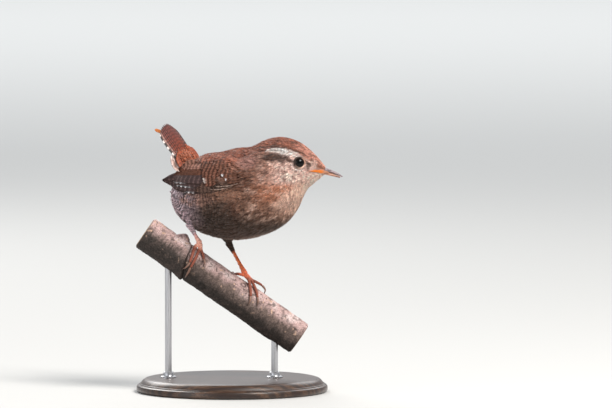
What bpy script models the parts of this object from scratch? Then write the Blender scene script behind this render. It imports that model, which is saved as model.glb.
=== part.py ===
"""A life-size wren that grips a short length of branch, held up by a plain display stand.

Metres, +Z up. The origin is the centre of the stand's underside, +X is the way the bill points
and -Y is the side that the bird shows best, its right. Sizes below are in millimetres.

The bird is drawn in a straight frame of its own first, as (forward, left, up): the trunk, neck and
head lie along one upright plane. Then its neck is turned, and the whole bird is turned and set
over the branch.
"""

import math
from dataclasses import dataclass

import bmesh
import bpy
from mathutils import Matrix, Vector

MM = 0.001
GAP = 0.3

# Where the bird stands and how it is turned
TRUNK_SPOT = Vector((2.0, -2.0, 0.0))
BODY_YAW = math.radians(-22.0)
NECK_TURN = math.radians(18.0)
NECK_TURN_START, NECK_PIVOT, NECK_TURN_END = 10.0, 17.0, 24.0

# Branch
BRANCH_CENTRE = Vector((-4.7, 0.0, 49.8))
BRANCH_SLOPE = math.radians(34.7)
BRANCH_RADIUS = 8.0
BRANCH_LENGTH = 88.0
BRANCH_SWELLS = ((-27.0, 3.0, 0.45), (30.0, 5.0, 0.35))
BRANCH_ALONG = Vector((math.cos(BRANCH_SLOPE), 0.0, -math.sin(BRANCH_SLOPE)))
BRANCH_UP = Vector((math.sin(BRANCH_SLOPE), 0.0, math.cos(BRANCH_SLOPE)))
TOWARDS_VIEWER = Vector((0.0, -1.0, 0.0))

# Stand
BASE_RADIUS = 45.0
BASE_HEIGHT = 6.5
BASE_EDGE = 1.6
ROD_RADIUS = 1.6
ROD_PLACES = {"stand_rod_tall": -30.0, "stand_rod_short": 20.0}

# Eyes: the balls' size and place, how deep they are set, and the rib beside them
EYE_RADIUS = 3.0
EYE_FORWARD, EYE_UP = 31.1, 108.5
EYE_BEHIND_FEATHERS = 2.0
EYE_RIB = 12.15

# Colours
PLUMAGE_BROWN = (0.235, 0.125, 0.075)
RUFOUS_BROWN = (0.36, 0.13, 0.055)
WING_BROWN = (0.16, 0.085, 0.055)
LEG_PINK = (0.56, 0.22, 0.13)
CLAW_BROWN = (0.20, 0.10, 0.07)
BILL_GREY = (0.11, 0.085, 0.08)
BILL_PINK = (0.42, 0.20, 0.13)
EYE_BLACK = (0.006, 0.005, 0.005)
BARK_GREY = (0.24, 0.19, 0.17)
BASE_WALNUT = (0.065, 0.032, 0.018)
STEEL = (0.60, 0.60, 0.62)


@dataclass
class Rib:
    """One cross-section of a lofted form, drawn between two points of the upright plane."""

    top: tuple
    bottom: tuple
    half_width: float
    egg: float = 0.0

    def mixed(self, others, weights):
        """This rib's fields blended with the other ribs' by the given weights."""
        ribs = (self, *others)

        def blend(pick):
            return sum(w * pick(r) for w, r in zip(weights, ribs))

        return Rib(
            (blend(lambda r: r.top[0]), blend(lambda r: r.top[1])),
            (blend(lambda r: r.bottom[0]), blend(lambda r: r.bottom[1])),
            max(blend(lambda r: r.half_width), 0.05),
            blend(lambda r: r.egg),
        )


# From the rump, along the trunk and neck, to the feathers round the bill: top point and bottom
# point as (forward, up), half width, and how much wider the lower half is than the upper. A span
# runs between two places in this list, and a gap is a share of the way from one rib to the next.
BODY_RIBS = [
    Rib((-31.4, 94.5), (-31.4, 89.6), 2.6),
    Rib((-30.6, 98.0), (-30.6, 85.8), 6.6),
    Rib((-27.6, 102.8), (-27.6, 81.2), 10.6),
    Rib((-22.0, 107.0), (-22.0, 77.0), 13.8),
    Rib((-15.0, 110.2), (-15.0, 73.8), 16.4),
    Rib((-7.0, 113.0), (-7.0, 72.0), 18.0),
    Rib((1.0, 115.0), (1.0, 71.5), 18.7),
    Rib((7.0, 115.5), (9.5, 72.8), 18.4, 0.06),
    Rib((11.0, 117.2), (18.0, 75.6), 16.8, 0.14),
    Rib((15.0, 119.1), (25.0, 79.9), 14.6, 0.20),
    Rib((19.2, 120.2), (30.0, 86.0), 12.2, 0.20),
    Rib((23.3, 120.4), (32.8, 92.0), 10.3, 0.13),
    Rib((27.5, 119.5), (34.9, 95.9), 9.1, 0.06),
    Rib((31.8, 117.6), (37.4, 98.2), 7.7),
    Rib((36.0, 114.5), (39.6, 100.1), 5.8),
    Rib((39.5, 111.0), (41.2, 101.3), 4.1),
    Rib((42.0, 108.0), (42.1, 102.2), 2.8),
    Rib((43.3, 106.4), (42.9, 102.9), 2.15),
]
TRUNK_SPAN = (0.0, 9.0)
NECK_SPAN = (9.0, 11.0)
HEAD_SPAN = (11.0, len(BODY_RIBS) - 1.0)
RIB_GAP = 0.075

# Bill ribs, as (forward, up) along the culmen, the cutting edges and the keel
UPPER_BILL_RIBS = [
    Rib((43.5, 105.9), (43.3, 104.2), 1.85),
    Rib((45.2, 105.3), (45.1, 103.85), 1.45),
    Rib((47.2, 104.5), (47.1, 103.3), 1.0),
    Rib((49.2, 103.5), (49.1, 102.6), 0.62),
    Rib((50.6, 102.6), (50.5, 101.95), 0.38),
    Rib((51.3, 102.0), (51.2, 101.5), 0.27),
]
LOWER_BILL_RIBS = [
    Rib((43.3, 103.85), (43.2, 102.7), 1.7),
    Rib((45.1, 103.5), (45.0, 102.35), 1.3),
    Rib((47.0, 102.95), (46.9, 101.95), 0.9),
    Rib((48.9, 102.3), (48.8, 101.5), 0.55),
    Rib((50.2, 101.75), (50.1, 101.2), 0.3),
]

# Tail ribs, as (along the tail, height over its mid-line), from the rump to the tip
TAIL_ROOT = (-20.0, 103.2)
TAIL_RISE = math.radians(53.0)
TAIL_ROLL = math.radians(20.0)
TAIL_RIBS = [
    Rib((0.0, 3.8), (0.0, -5.0), 5.6),
    Rib((4.5, 3.8), (4.5, -4.8), 6.0),
    Rib((9.0, 3.1), (9.0, -3.6), 6.4),
    Rib((13.0, 2.3), (13.0, -2.1), 6.6),
    Rib((17.5, 1.5), (17.5, -1.0), 6.6),
    Rib((22.0, 0.8), (22.0, -0.6), 6.3),
    Rib((25.0, 0.3), (25.0, -0.7), 5.4),
    Rib((26.9, -0.1), (26.9, -0.9), 3.6),
    Rib((27.7, -0.3), (27.7, -0.9), 1.6),
]

# Outline of a folded wing, as (forward, up), from its front to its tip
WING_LOWER_EDGE = [(12.0, 103.4), (8.0, 99.2), (2.0, 96.4), (-6.0, 94.4), (-13.0, 93.8),
                   (-20.0, 94.9), (-27.0, 96.8), (-32.0, 98.3), (-35.2, 99.0)]
WING_UPPER_EDGE = [(12.0, 104.6), (8.0, 107.0), (2.0, 108.8), (-6.0, 109.4), (-13.0, 109.3),
                   (-20.0, 108.2), (-27.0, 105.2), (-32.0, 101.6), (-35.2, 99.5)]
WING_STEPS_ALONG, WING_STEPS_ACROSS = 18, 6
WING_EDGE_THICK, WING_MIDDLE_THICK = 0.75, 1.55
WING_OVER_BODY = 0.4
WING_TIP_OUT, WING_SPREAD, WING_LEAN, WING_BEND = 6.4, 0.12, 0.22, 1.0

# Legs. A joint or toe point is (along the branch, angle round it from its top towards the
# viewer in degrees, height of the toe's middle over the bark).
SHANK_TOPS = {"left": Vector((-1.2, 7.9, 68.6)), "right": Vector((-19.6, -3.3, 78.2))}
THIGH_ROOTS = {"left": Vector((-3.4, 8.6, 80.0)), "right": Vector((-19.0, -1.6, 88.5))}
FOOT_JOINTS = {"left": (6.1, -5.4, 2.65), "right": (-20.0, 16.0, 3.2)}
THIGH_RADII = {"left": (5.0, 4.7, 4.1, 3.0, 1.1), "right": (4.2, 4.0, 3.5, 2.6, 1.2)}
TARSUS_RADII = (1.0, 0.84, 0.82, 0.95, 1.4)
TOE_RADII = (1.05, 0.78, 0.70, 0.60)
TOE_OVERLAP = 0.35
CLAW_RADII = (0.55, 0.42, 0.26)
TOES = {
    ("left", 1): [(4.8, -6, 1.7), (2.8, -20, 1.15), (1.4, -40, 1.05)],
    ("left", 2): [(8.8, 16, 1.9), (11.8, 43, 1.05), (13.7, 63, 1.05)],
    ("left", 3): [(10.2, 8, 1.9), (14.2, 33, 1.15), (16.6, 52, 1.05)],
    ("left", 4): [(9.6, -10, 2.3), (13.0, -15, 2.9), (15.5, -18, 3.2)],
    ("right", 1): [(-20.5, -2, 1.7), (-21.0, -36, 1.15), (-20.8, -60, 1.05)],
    ("right", 2): [(-18.0, 24, 1.6), (-15.9, 37, 1.15), (-14.4, 49, 1.05)],
    ("right", 3): [(-18.9, 24, 1.7), (-17.9, 60, 1.05), (-17.3, 95, 1.05)],
    ("right", 4): [(-20.9, 30, 1.4), (-19.9, 62, 1.05), (-18.9, 84, 1.05)],
}
CLAWS = {
    ("left", 1): [(0.5, -60, 1.5), (0.1, -80, 0.5)],
    ("left", 2): [(14.6, 78, 1.35), (14.7, 92, 0.5)],
    ("left", 3): [(17.9, 64, 1.35), (18.6, 77, 0.5)],
    ("left", 4): [(17.9, -22, 2.5), (18.6, -31, 0.6)],
    ("right", 1): [(-20.4, -84, 1.5), (-20.1, -106, 0.5)],
    ("right", 2): [(-13.2, 58, 1.35), (-12.6, 69, 0.5)],
    ("right", 3): [(-16.8, 119, 1.35), (-16.7, 138, 0.5)],
    ("right", 4): [(-19.1, 101, 1.35), (-20.1, 116, 0.5)],
}

# Fineness of the facets, and of the search for a place on the body
RING_SIDES, TAIL_SIDES, BILL_SIDES = 26, 18, 14
RINGS_PER_RIB = 2.1
RIB_HALVES = 2
SHANK_STEPS, TOE_STEPS, CLAW_STEPS, BRANCH_STEPS = 6, 4, 2, 14
THIGH_ROUNDNESS, SHANK_ROUNDNESS, BRANCH_ROUNDNESS = 5, 3, 10
EYE_SIDES, EYE_BANDS = 16, 9
BASE_SIDES, ROD_SIDES = 48, 24
HALVINGS = 30


# Smooth blends

def smooth_step(x):
    """0 below 0, 1 above 1, and an even curve in between."""
    x = min(max(x, 0.0), 1.0)
    return x * x * (3.0 - 2.0 * x)


def spline_weights(t):
    """Catmull-Rom weights of the four points round a stretch, at the share t of it."""
    return (
        0.5 * (-t**3 + 2 * t**2 - t),
        0.5 * (3 * t**3 - 5 * t**2 + 2),
        0.5 * (-3 * t**3 + 4 * t**2 + t),
        0.5 * (t**3 - t**2),
    )


def neighbours(items, at):
    """The four items round a place in a list, and how far it is from the second to the third."""
    last = len(items) - 1
    low = min(int(at), last - 1)
    picked = [items[min(max(low + step, 0), last)] for step in (-1, 0, 1, 2)]
    return picked, at - low


def rib_at(ribs, at):
    """The rib at a place between two ribs of a list, on a smooth curve through them all."""
    (before, low, high, after), share = neighbours(ribs, at)
    return before.mixed((low, high, after), spline_weights(share))


def curve_through(points, steps):
    """Points on a smooth curve through the given ones, with `steps` to each stretch."""
    found = []
    for step in range((len(points) - 1) * steps + 1):
        picked, share = neighbours(points, step / steps)
        found.append(sum((w * p for w, p in zip(spline_weights(share), picked)), Vector((0, 0, 0))))
    return found


def straight_line(start, end):
    """Points at even steps from one point to another."""
    return [start.lerp(end, i / SHANK_STEPS) for i in range(SHANK_STEPS + 1)]


def halved_places(ribs):
    """The places of a list of ribs, and the ones midway between them."""
    return [i / RIB_HALVES for i in range(RIB_HALVES * (len(ribs) - 1) + 1)]


def value_along(values, share):
    """A value read from an even list at the share of its length."""
    at = share * (len(values) - 1)
    low = min(int(at), len(values) - 2)
    return values[low] + (values[low + 1] - values[low]) * (at - low)


def edge_height(edge, forward):
    """The height of a wing edge at a place along the bird."""
    for (a1, z1), (a2, z2) in zip(edge, edge[1:]):
        if a2 <= forward <= a1:
            return z1 + (z2 - z1) * smooth_step((a1 - forward) / (a1 - a2))
    return edge[-1][1]


# From the bird's straight frame to the world

def turn_neck(point):
    """A point of the straight bird, as (forward, left, up), after the neck is turned."""
    share = smooth_step((point.x - NECK_TURN_START) / (NECK_TURN_END - NECK_TURN_START))
    pivot = Vector((NECK_PIVOT, 0.0, 0.0))
    return pivot + Matrix.Rotation(NECK_TURN * share, 3, "Z") @ (point - pivot)


def place(point):
    """A point of the straight bird in the world, in millimetres."""
    return TRUNK_SPOT + Matrix.Rotation(BODY_YAW, 3, "Z") @ turn_neck(point)


def ring_of(rib, grow=0.0, sides=RING_SIDES):
    """The points round one rib, as (forward, left, up)."""
    top, bottom = Vector((rib.top[0], 0, rib.top[1])), Vector((rib.bottom[0], 0, rib.bottom[1]))
    middle, up = (top + bottom) / 2, (top - bottom).normalized()
    half_height = (top - bottom).length / 2 + grow
    ring = []
    for side in range(sides):
        angle = 2 * math.pi * side / sides
        out = (rib.half_width + grow) * math.sin(angle) * (1 - rib.egg * math.cos(angle))
        ring.append(middle + up * half_height * math.cos(angle) + Vector((0, out, 0)))
    return ring


def half_width_at(forward, height):
    """How far the plumage reaches sideways at a place beside the trunk, or 0 outside its outline."""
    low, high = TRUNK_SPAN[0], TRUNK_SPAN[1] + 1.0
    for _ in range(HALVINGS):
        middle = (low + high) / 2
        rib = rib_at(BODY_RIBS, middle)
        share = (height - rib.top[1]) / (rib.bottom[1] - rib.top[1])
        if rib.top[0] + (rib.bottom[0] - rib.top[0]) * share < forward:
            low = middle
        else:
            high = middle
    rib = rib_at(BODY_RIBS, low)
    cosine = 1 - 2 * (height - rib.top[1]) / (rib.bottom[1] - rib.top[1])
    if forward < BODY_RIBS[0].top[0] or abs(cosine) >= 1:
        return 0.0
    return rib.half_width * math.sqrt(1 - cosine * cosine) * (1 - rib.egg * cosine)


def perch_point(along, angle, height):
    """A point near the branch, in world millimetres, from its place along and round it."""
    turn = math.radians(angle)
    out = BRANCH_UP * math.cos(turn) + TOWARDS_VIEWER * math.sin(turn)
    return BRANCH_CENTRE + BRANCH_ALONG * along + out * (BRANCH_RADIUS + height)


# Objects

def clear_scene():
    """Removes what the scene holds."""
    for obj in list(bpy.data.objects):
        bpy.data.objects.remove(obj, do_unlink=True)


def collection_named(name):
    """A new collection in the scene."""
    made = bpy.data.collections.new(name)
    bpy.context.scene.collection.children.link(made)
    return made


def material_of(name, colour, roughness, metallic=0.0):
    """A Principled material of one colour."""
    made = bpy.data.materials.new(name)
    made.use_nodes = True
    shader = made.node_tree.nodes["Principled BSDF"]
    shader.inputs["Base Color"].default_value = (*colour, 1.0)
    shader.inputs["Roughness"].default_value = roughness
    shader.inputs["Metallic"].default_value = metallic
    return made


def object_from(bm, name, collection, material=None):
    """A named object that holds a bmesh given in millimetres, turned into metres."""
    bmesh.ops.scale(bm, vec=(MM, MM, MM), verts=bm.verts)
    mesh = bpy.data.meshes.new(name)
    bm.to_mesh(mesh)
    bm.free()
    mesh.shade_smooth()
    obj = bpy.data.objects.new(name, mesh)
    collection.objects.link(obj)
    if material:
        mesh.materials.append(material)
    return obj


def as_helper(obj, cutters):
    """Marks an object as a cutter or joiner, which is not a node."""
    for held in list(obj.users_collection):
        held.objects.unlink(obj)
    cutters.objects.link(obj)
    obj.hide_render = True
    obj.display_type = "WIRE"
    return obj


def boolean(obj, other, operation):
    """Joins or cuts an object with another, which is a helper."""
    modifier = obj.modifiers.new(operation.lower() + "_" + other.name, "BOOLEAN")
    modifier.operation = operation
    modifier.solver = "EXACT"
    modifier.object = other


def loft(name, rings, collection, material=None):
    """A closed body through rings of equal count, with a fan over each end."""
    bm = bmesh.new()
    rows = [[bm.verts.new(point) for point in ring] for ring in rings]
    for row, following in zip(rows, rows[1:]):
        for i, vert in enumerate(row):
            after = (i + 1) % len(row)
            bm.faces.new((vert, row[after], following[after], following[i]))
    for row in (rows[0], rows[-1]):
        hub = bm.verts.new(sum((v.co for v in row), Vector((0, 0, 0))) / len(row))
        for i, vert in enumerate(row):
            bm.faces.new((hub, row[(i + 1) % len(row)], vert))
    bmesh.ops.recalc_face_normals(bm, faces=bm.faces)
    return object_from(bm, name, collection, material)


def tube(name, points, radii, collection, material=None, resolution=2):
    """A round tube of changing radius along points given in world millimetres."""
    data = bpy.data.curves.new(name, "CURVE")
    data.dimensions = "3D"
    data.bevel_depth = MM
    data.bevel_resolution = resolution
    data.use_fill_caps = True
    spline = data.splines.new("POLY")
    spline.points.add(len(points) - 1)
    for i, point in enumerate(points):
        spline.points[i].co = (*(point * MM), 1.0)
        spline.points[i].radius = value_along(radii, i / (len(points) - 1))
    drawn = bpy.data.objects.new(name + "_curve", data)
    collection.objects.link(drawn)
    bpy.context.view_layer.update()
    graph = bpy.context.evaluated_depsgraph_get()
    mesh = bpy.data.meshes.new_from_object(drawn.evaluated_get(graph))
    bm = bmesh.new()
    bm.from_mesh(mesh)
    bmesh.ops.remove_doubles(bm, verts=bm.verts, dist=0.00001)
    bmesh.ops.recalc_face_normals(bm, faces=bm.faces)
    bm.to_mesh(mesh)
    bm.free()
    mesh.shade_smooth()
    obj = bpy.data.objects.new(name, mesh)
    obj.matrix_world = drawn.matrix_world
    collection.objects.link(obj)
    bpy.data.objects.remove(drawn)
    if material:
        mesh.materials.append(material)
    return obj


# The bird

def body_length(name, span, parts, material, grow=0.0):
    """A length of the body between two places in the list of ribs."""
    start, end = span
    count = max(4, round((end - start) * RINGS_PER_RIB))
    places = [start + (end - start) * i / count for i in range(count + 1)]
    rings = [ring_of(rib_at(BODY_RIBS, at), grow) for at in places]
    return loft(name, [[place(p) for p in ring] for ring in rings], parts, material)


def trunk_neck_and_head(parts, cutters, plumage):
    """The trunk, neck and head, parted by two thin cuts, with a socket for each eye."""
    body_length("trunk", (TRUNK_SPAN[0], TRUNK_SPAN[1] - RIB_GAP), parts, plumage)
    body_length("neck", (NECK_SPAN[0], NECK_SPAN[1] - RIB_GAP), parts, plumage)
    head = body_length("head", HEAD_SPAN, parts, plumage)
    for side in ("left", "right"):
        socket = ball("socket_" + side, eye_centre(side), EYE_RADIUS + GAP, parts)
        boolean(head, as_helper(socket, cutters), "DIFFERENCE")


def eye_centre(side):
    """The middle of an eyeball, in world millimetres."""
    out = rib_at(BODY_RIBS, EYE_RIB).half_width - EYE_BEHIND_FEATHERS
    return place(Vector((EYE_FORWARD, out if side == "left" else -out, EYE_UP)))


def ball(name, centre, radius, collection, material=None):
    """A sphere of a given radius, in millimetres."""
    bm = bmesh.new()
    bmesh.ops.create_uvsphere(bm, u_segments=EYE_SIDES, v_segments=EYE_BANDS, radius=radius)
    bmesh.ops.translate(bm, vec=centre, verts=bm.verts)
    return object_from(bm, name, collection, material)


def bill(parts, upper_material, lower_material):
    """The two halves of the closed bill."""
    for name, ribs, material in (
        ("bill_upper", UPPER_BILL_RIBS, upper_material),
        ("bill_lower", LOWER_BILL_RIBS, lower_material),
    ):
        rings = [ring_of(rib_at(ribs, at), sides=BILL_SIDES) for at in halved_places(ribs)]
        loft(name, [[place(p) for p in ring] for ring in rings], parts, material)


def tail_point(point):
    """A point of the tail's own frame, as (along, left, over), in the world."""
    rolled = Matrix.Rotation(TAIL_ROLL, 3, "X") @ Vector((0.0, point.y, point.z))
    back = Vector((-math.cos(TAIL_RISE), 0.0, math.sin(TAIL_RISE)))
    over = Vector((math.sin(TAIL_RISE), 0.0, math.cos(TAIL_RISE)))
    root = Vector((TAIL_ROOT[0], 0.0, TAIL_ROOT[1]))
    return place(root + back * point.x + Vector((0, rolled.y, 0)) + over * rolled.z)


def tail(parts, trunk_cutter, material):
    """The cocked tail with its coverts, cut to the rump."""
    rings = [ring_of(rib_at(TAIL_RIBS, at), sides=TAIL_SIDES) for at in halved_places(TAIL_RIBS)]
    made = loft("tail", [[tail_point(p) for p in ring] for ring in rings], parts, material)
    boolean(made, trunk_cutter, "DIFFERENCE")


def wing_inner_face(forward, height):
    """How far out a folded wing's inner face lies, clear of the trunk and of the tail."""
    tip_forward, tip_up = WING_UPPER_EDGE[-1]
    beside_trunk = half_width_at(forward, height) + WING_OVER_BODY
    behind_trunk = WING_TIP_OUT + WING_SPREAD * (forward - tip_forward)
    behind_trunk -= WING_LEAN * max(0.0, height - tip_up)
    difference = beside_trunk - behind_trunk
    return (beside_trunk + behind_trunk + math.hypot(difference, WING_BEND)) / 2


def wing(side, parts, material):
    """One folded wing: a curved blade that lies on the flank and ends behind it in a point."""
    sign = 1.0 if side == "left" else -1.0
    front, tip = WING_LOWER_EDGE[0][0], WING_LOWER_EDGE[-1][0]
    bm = bmesh.new()
    inner, outer = [], []
    for i in range(WING_STEPS_ALONG + 1):
        forward = front + (tip - front) * i / WING_STEPS_ALONG
        low, high = edge_height(WING_LOWER_EDGE, forward), edge_height(WING_UPPER_EDGE, forward)
        inner_row, outer_row = [], []
        for j in range(WING_STEPS_ACROSS + 1):
            across = j / WING_STEPS_ACROSS
            height = low + (high - low) * across
            near = wing_inner_face(forward, height)
            swell = math.sqrt(max(math.sin(math.pi * across), 0.0))
            thick = WING_EDGE_THICK + (WING_MIDDLE_THICK - WING_EDGE_THICK) * swell
            inner_row.append(bm.verts.new(place(Vector((forward, sign * near, height)))))
            outer_row.append(bm.verts.new(place(Vector((forward, sign * (near + thick), height)))))
        inner.append(inner_row)
        outer.append(outer_row)
    for grid in (inner, outer):
        for row, following in zip(grid, grid[1:]):
            for j in range(WING_STEPS_ACROSS):
                bm.faces.new((row[j], row[j + 1], following[j + 1], following[j]))
    for j in range(WING_STEPS_ACROSS):
        for i in (0, -1):
            bm.faces.new((inner[i][j], inner[i][j + 1], outer[i][j + 1], outer[i][j]))
    for i in range(WING_STEPS_ALONG):
        for j in (0, -1):
            bm.faces.new((inner[i][j], inner[i + 1][j], outer[i + 1][j], outer[i][j]))
    bmesh.ops.recalc_face_normals(bm, faces=bm.faces)
    object_from(bm, "wing_" + side, parts, material)


def leg(side, parts, cutters, trunk_cutter, materials):
    """A feathered thigh, and a bare shank with four toes in one piece, and four claws."""
    shank_top, joint = SHANK_TOPS[side], perch_point(*FOOT_JOINTS[side])
    root = THIGH_ROOTS[side]
    thigh_line = straight_line(root, shank_top)
    thigh = tube("thigh_" + side, thigh_line, THIGH_RADII[side], parts, materials["plumage"],
                 THIGH_ROUNDNESS)
    boolean(thigh, trunk_cutter, "DIFFERENCE")
    thigh_line[-1] += (shank_top - root).normalized() * GAP
    grown_radii = [radius + GAP for radius in THIGH_RADII[side]]
    grown_thigh = tube("thigh_grown_" + side, thigh_line, grown_radii, parts, None, THIGH_ROUNDNESS)
    as_helper(grown_thigh, cutters)
    shank = tube("leg_" + side, straight_line(shank_top, joint), TARSUS_RADII, parts,
                 materials["leg"], SHANK_ROUNDNESS)
    for digit in range(1, 5):
        toe_points = [perch_point(*p) for p in TOES[side, digit]]
        toe_points.insert(0, joint + (joint - toe_points[0]).normalized() * TOE_OVERLAP)
        toe_line = curve_through(toe_points, TOE_STEPS)
        toe = tube(f"toe_{side}_{digit}", toe_line, TOE_RADII, parts)
        boolean(shank, as_helper(toe, cutters), "UNION")
        claw_points = [toe_points[-1]] + [perch_point(*p) for p in CLAWS[side, digit]]
        claw_points[0] = toe_points[-1] + (claw_points[1] - toe_points[-1]).normalized() * 2 * GAP
        claw_line = curve_through(claw_points, CLAW_STEPS)
        tube(f"claw_{side}_{digit}", claw_line, CLAW_RADII, parts, materials["claw"])
    boolean(shank, grown_thigh, "DIFFERENCE")
    boolean(shank, trunk_cutter, "DIFFERENCE")


# The perch and its stand

def branch(name, collection, material=None, grow=0.0):
    """The cut length of branch: a round bar, a little fuller in places, with square ends."""
    half = BRANCH_LENGTH / 2 + grow
    line, radii = [], []
    for i in range(BRANCH_STEPS + 1):
        along = half * (2 * i / BRANCH_STEPS - 1)
        swell = sum(high * math.exp(-((along - at) / reach) ** 2) for at, reach, high in BRANCH_SWELLS)
        line.append(BRANCH_CENTRE + BRANCH_ALONG * along)
        radii.append(BRANCH_RADIUS + swell + grow)
    return tube(name, line, radii, collection, material, BRANCH_ROUNDNESS)


def upright_cylinder(name, radius, bottom, top, across, sides, collection, material):
    """A closed cylinder that stands on one height and ends at another."""
    bm = bmesh.new()
    bmesh.ops.create_cone(bm, cap_ends=True, segments=sides, radius1=radius, radius2=radius,
                          depth=top - bottom)
    bmesh.ops.translate(bm, vec=(across, 0, (top + bottom) / 2), verts=bm.verts)
    return object_from(bm, name, collection, material)


def stand(parts, branch_cutter, base_material, rod_material):
    """A flat round base and two short rods up to the branch."""
    base = upright_cylinder("stand_base", BASE_RADIUS, 0.0, BASE_HEIGHT, 0.0, BASE_SIDES, parts,
                            base_material)
    edge = base.modifiers.new("edge", "BEVEL")
    edge.width = BASE_EDGE * MM
    edge.segments = 2
    edge.limit_method = "ANGLE"
    for name, across in ROD_PLACES.items():
        top = BRANCH_CENTRE.z - (across - BRANCH_CENTRE.x) * math.tan(BRANCH_SLOPE)
        rod = upright_cylinder(name, ROD_RADIUS, BASE_HEIGHT + GAP, top, across, ROD_SIDES, parts,
                               rod_material)
        boolean(rod, branch_cutter, "DIFFERENCE")


def main():
    """Builds the wren, its perch and the stand."""
    clear_scene()
    parts = collection_named("wren")
    cutters = collection_named("cutters")
    plumage = material_of("plumage", PLUMAGE_BROWN, 0.85)
    rufous = material_of("tail_feathers", RUFOUS_BROWN, 0.8)
    flight = material_of("wing_feathers", WING_BROWN, 0.75)
    legs = {"plumage": plumage,
            "leg": material_of("leg_skin", LEG_PINK, 0.5),
            "claw": material_of("claw_horn", CLAW_BROWN, 0.35)}
    trunk_neck_and_head(parts, cutters, plumage)
    trunk_cutter = body_length("trunk_grown", TRUNK_SPAN, parts, None, GAP)
    as_helper(trunk_cutter, cutters)
    eye = material_of("eye", EYE_BLACK, 0.05)
    for side in ("left", "right"):
        ball("eye_" + side, eye_centre(side), EYE_RADIUS, parts, eye)
        wing(side, parts, flight)
        leg(side, parts, cutters, trunk_cutter, legs)
    bill(parts, material_of("bill_horn", BILL_GREY, 0.35), material_of("bill_pink", BILL_PINK, 0.4))
    tail(parts, trunk_cutter, rufous)
    branch("perch", parts, material_of("bark", BARK_GREY, 0.9))
    branch_cutter = as_helper(branch("perch_grown", parts, grow=GAP), cutters)
    stand(parts, branch_cutter, material_of("walnut", BASE_WALNUT, 0.35),
          material_of("steel", STEEL, 0.3, 1.0))


main()
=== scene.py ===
"""Looks of a life-size wren that grips a short cut length of branch over a plain display stand.

Sizes are in millimetres. The bird's own straight frame is (forward, left, up), as it was before its
neck and trunk were turned; `Stance` carries its points to the world, and meshes end in metres.
"""
import logging
import math
from dataclasses import dataclass, field
from enum import Enum
from typing import Callable, Protocol, Sequence

import bmesh
import bpy
import numpy as np
from mathutils import Matrix, Vector
from mathutils.kdtree import KDTree


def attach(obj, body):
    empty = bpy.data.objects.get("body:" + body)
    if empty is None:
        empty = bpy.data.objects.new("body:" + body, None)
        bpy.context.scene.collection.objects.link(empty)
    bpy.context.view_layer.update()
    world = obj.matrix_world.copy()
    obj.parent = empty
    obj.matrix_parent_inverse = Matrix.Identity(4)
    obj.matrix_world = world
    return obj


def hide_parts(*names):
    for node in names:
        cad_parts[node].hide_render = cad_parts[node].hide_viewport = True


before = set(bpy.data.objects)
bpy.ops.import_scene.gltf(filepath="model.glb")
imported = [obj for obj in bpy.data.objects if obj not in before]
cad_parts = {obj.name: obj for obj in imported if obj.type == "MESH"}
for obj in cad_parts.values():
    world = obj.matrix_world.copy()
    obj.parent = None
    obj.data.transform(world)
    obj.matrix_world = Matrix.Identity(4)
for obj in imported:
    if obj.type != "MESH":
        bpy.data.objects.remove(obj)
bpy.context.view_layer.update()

LOG = logging.getLogger("wren")

MM = 0.001
BODY = "root"
SIDES = {"left": 1.0, "right": -1.0}
Colour = tuple[float, float, float]


# Curves and blends over arrays

def smooth_step(x: np.ndarray) -> np.ndarray:
    """0 below 0, 1 above 1, and an even curve in between."""
    x = np.clip(x, 0.0, 1.0)
    return x * x * (3.0 - 2.0 * x)


def ramp(x: np.ndarray, start: float, end: float) -> np.ndarray:
    """A smooth rise from 0 at `start` to 1 at `end`, which may be the lower of the two."""
    return smooth_step((x - start) / (end - start))


def read_spline(table: np.ndarray, at: np.ndarray) -> np.ndarray:
    """Reads rows of a table between its rows, on Catmull-Rom curves through them all.

    Args:
        table: One row of values to each knot.
        at: Places in the table, where 1.5 is midway between rows 1 and 2.

    Returns:
        One row of values to each place.
    """
    last = len(table) - 1
    low = np.clip(np.floor(at).astype(int), 0, last - 1)
    t = (np.clip(at, 0.0, last) - low)[:, None]
    before, start, end, after = (table[np.clip(low + step, 0, last)] for step in (-1, 0, 1, 2))
    return 0.5 * (
        2 * start
        + (end - before) * t
        + (2 * before - 5 * start + 4 * end - after) * t**2
        + (3 * start - before - 3 * end + after) * t**3
    )


def turned(points: np.ndarray, angle: np.ndarray | float, first: int, second: int) -> np.ndarray:
    """Points turned in the plane of two of their axes, from the first towards the second."""
    c, s = np.cos(angle), np.sin(angle)
    out = points.copy()
    out[:, first] = c * points[:, first] - s * points[:, second]
    out[:, second] = s * points[:, first] + c * points[:, second]
    return out


def unit(vectors: np.ndarray) -> np.ndarray:
    """Vectors of length one along the given ones."""
    return vectors / np.maximum(np.linalg.norm(vectors, axis=-1, keepdims=True), 1e-12)


def value_noise(points: np.ndarray, scale: float, seed: int = 0) -> np.ndarray:
    """Smooth noise from 0 to 1 in space.

    Args:
        points: Places, one row each.
        scale: The size of the noise's cells, in the units of the points.
        seed: Picks one of many like patterns.

    Returns:
        One value to each place.
    """
    cells = points / scale + 1000.0
    low = np.floor(cells).astype(np.int64)
    share = cells - low
    share = share * share * (3 - 2 * share)
    total = np.zeros(len(points))
    for corner in range(8):
        step = np.array([corner & 1, corner >> 1 & 1, corner >> 2 & 1])
        at = low + step
        mixed = (at[:, 0] * 73856093) ^ (at[:, 1] * 19349663) ^ (at[:, 2] * 83492791) ^ (seed * 2654435)
        mixed = (mixed ^ (mixed >> 13)) * 1274126177 & 0x7FFFFFFF
        weight = np.prod(np.where(step == 1, share, 1 - share), axis=1)
        total += weight * ((mixed ^ (mixed >> 16)) % 65536) / 65535.0
    return total


# The bird's form, as the solids have it

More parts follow.
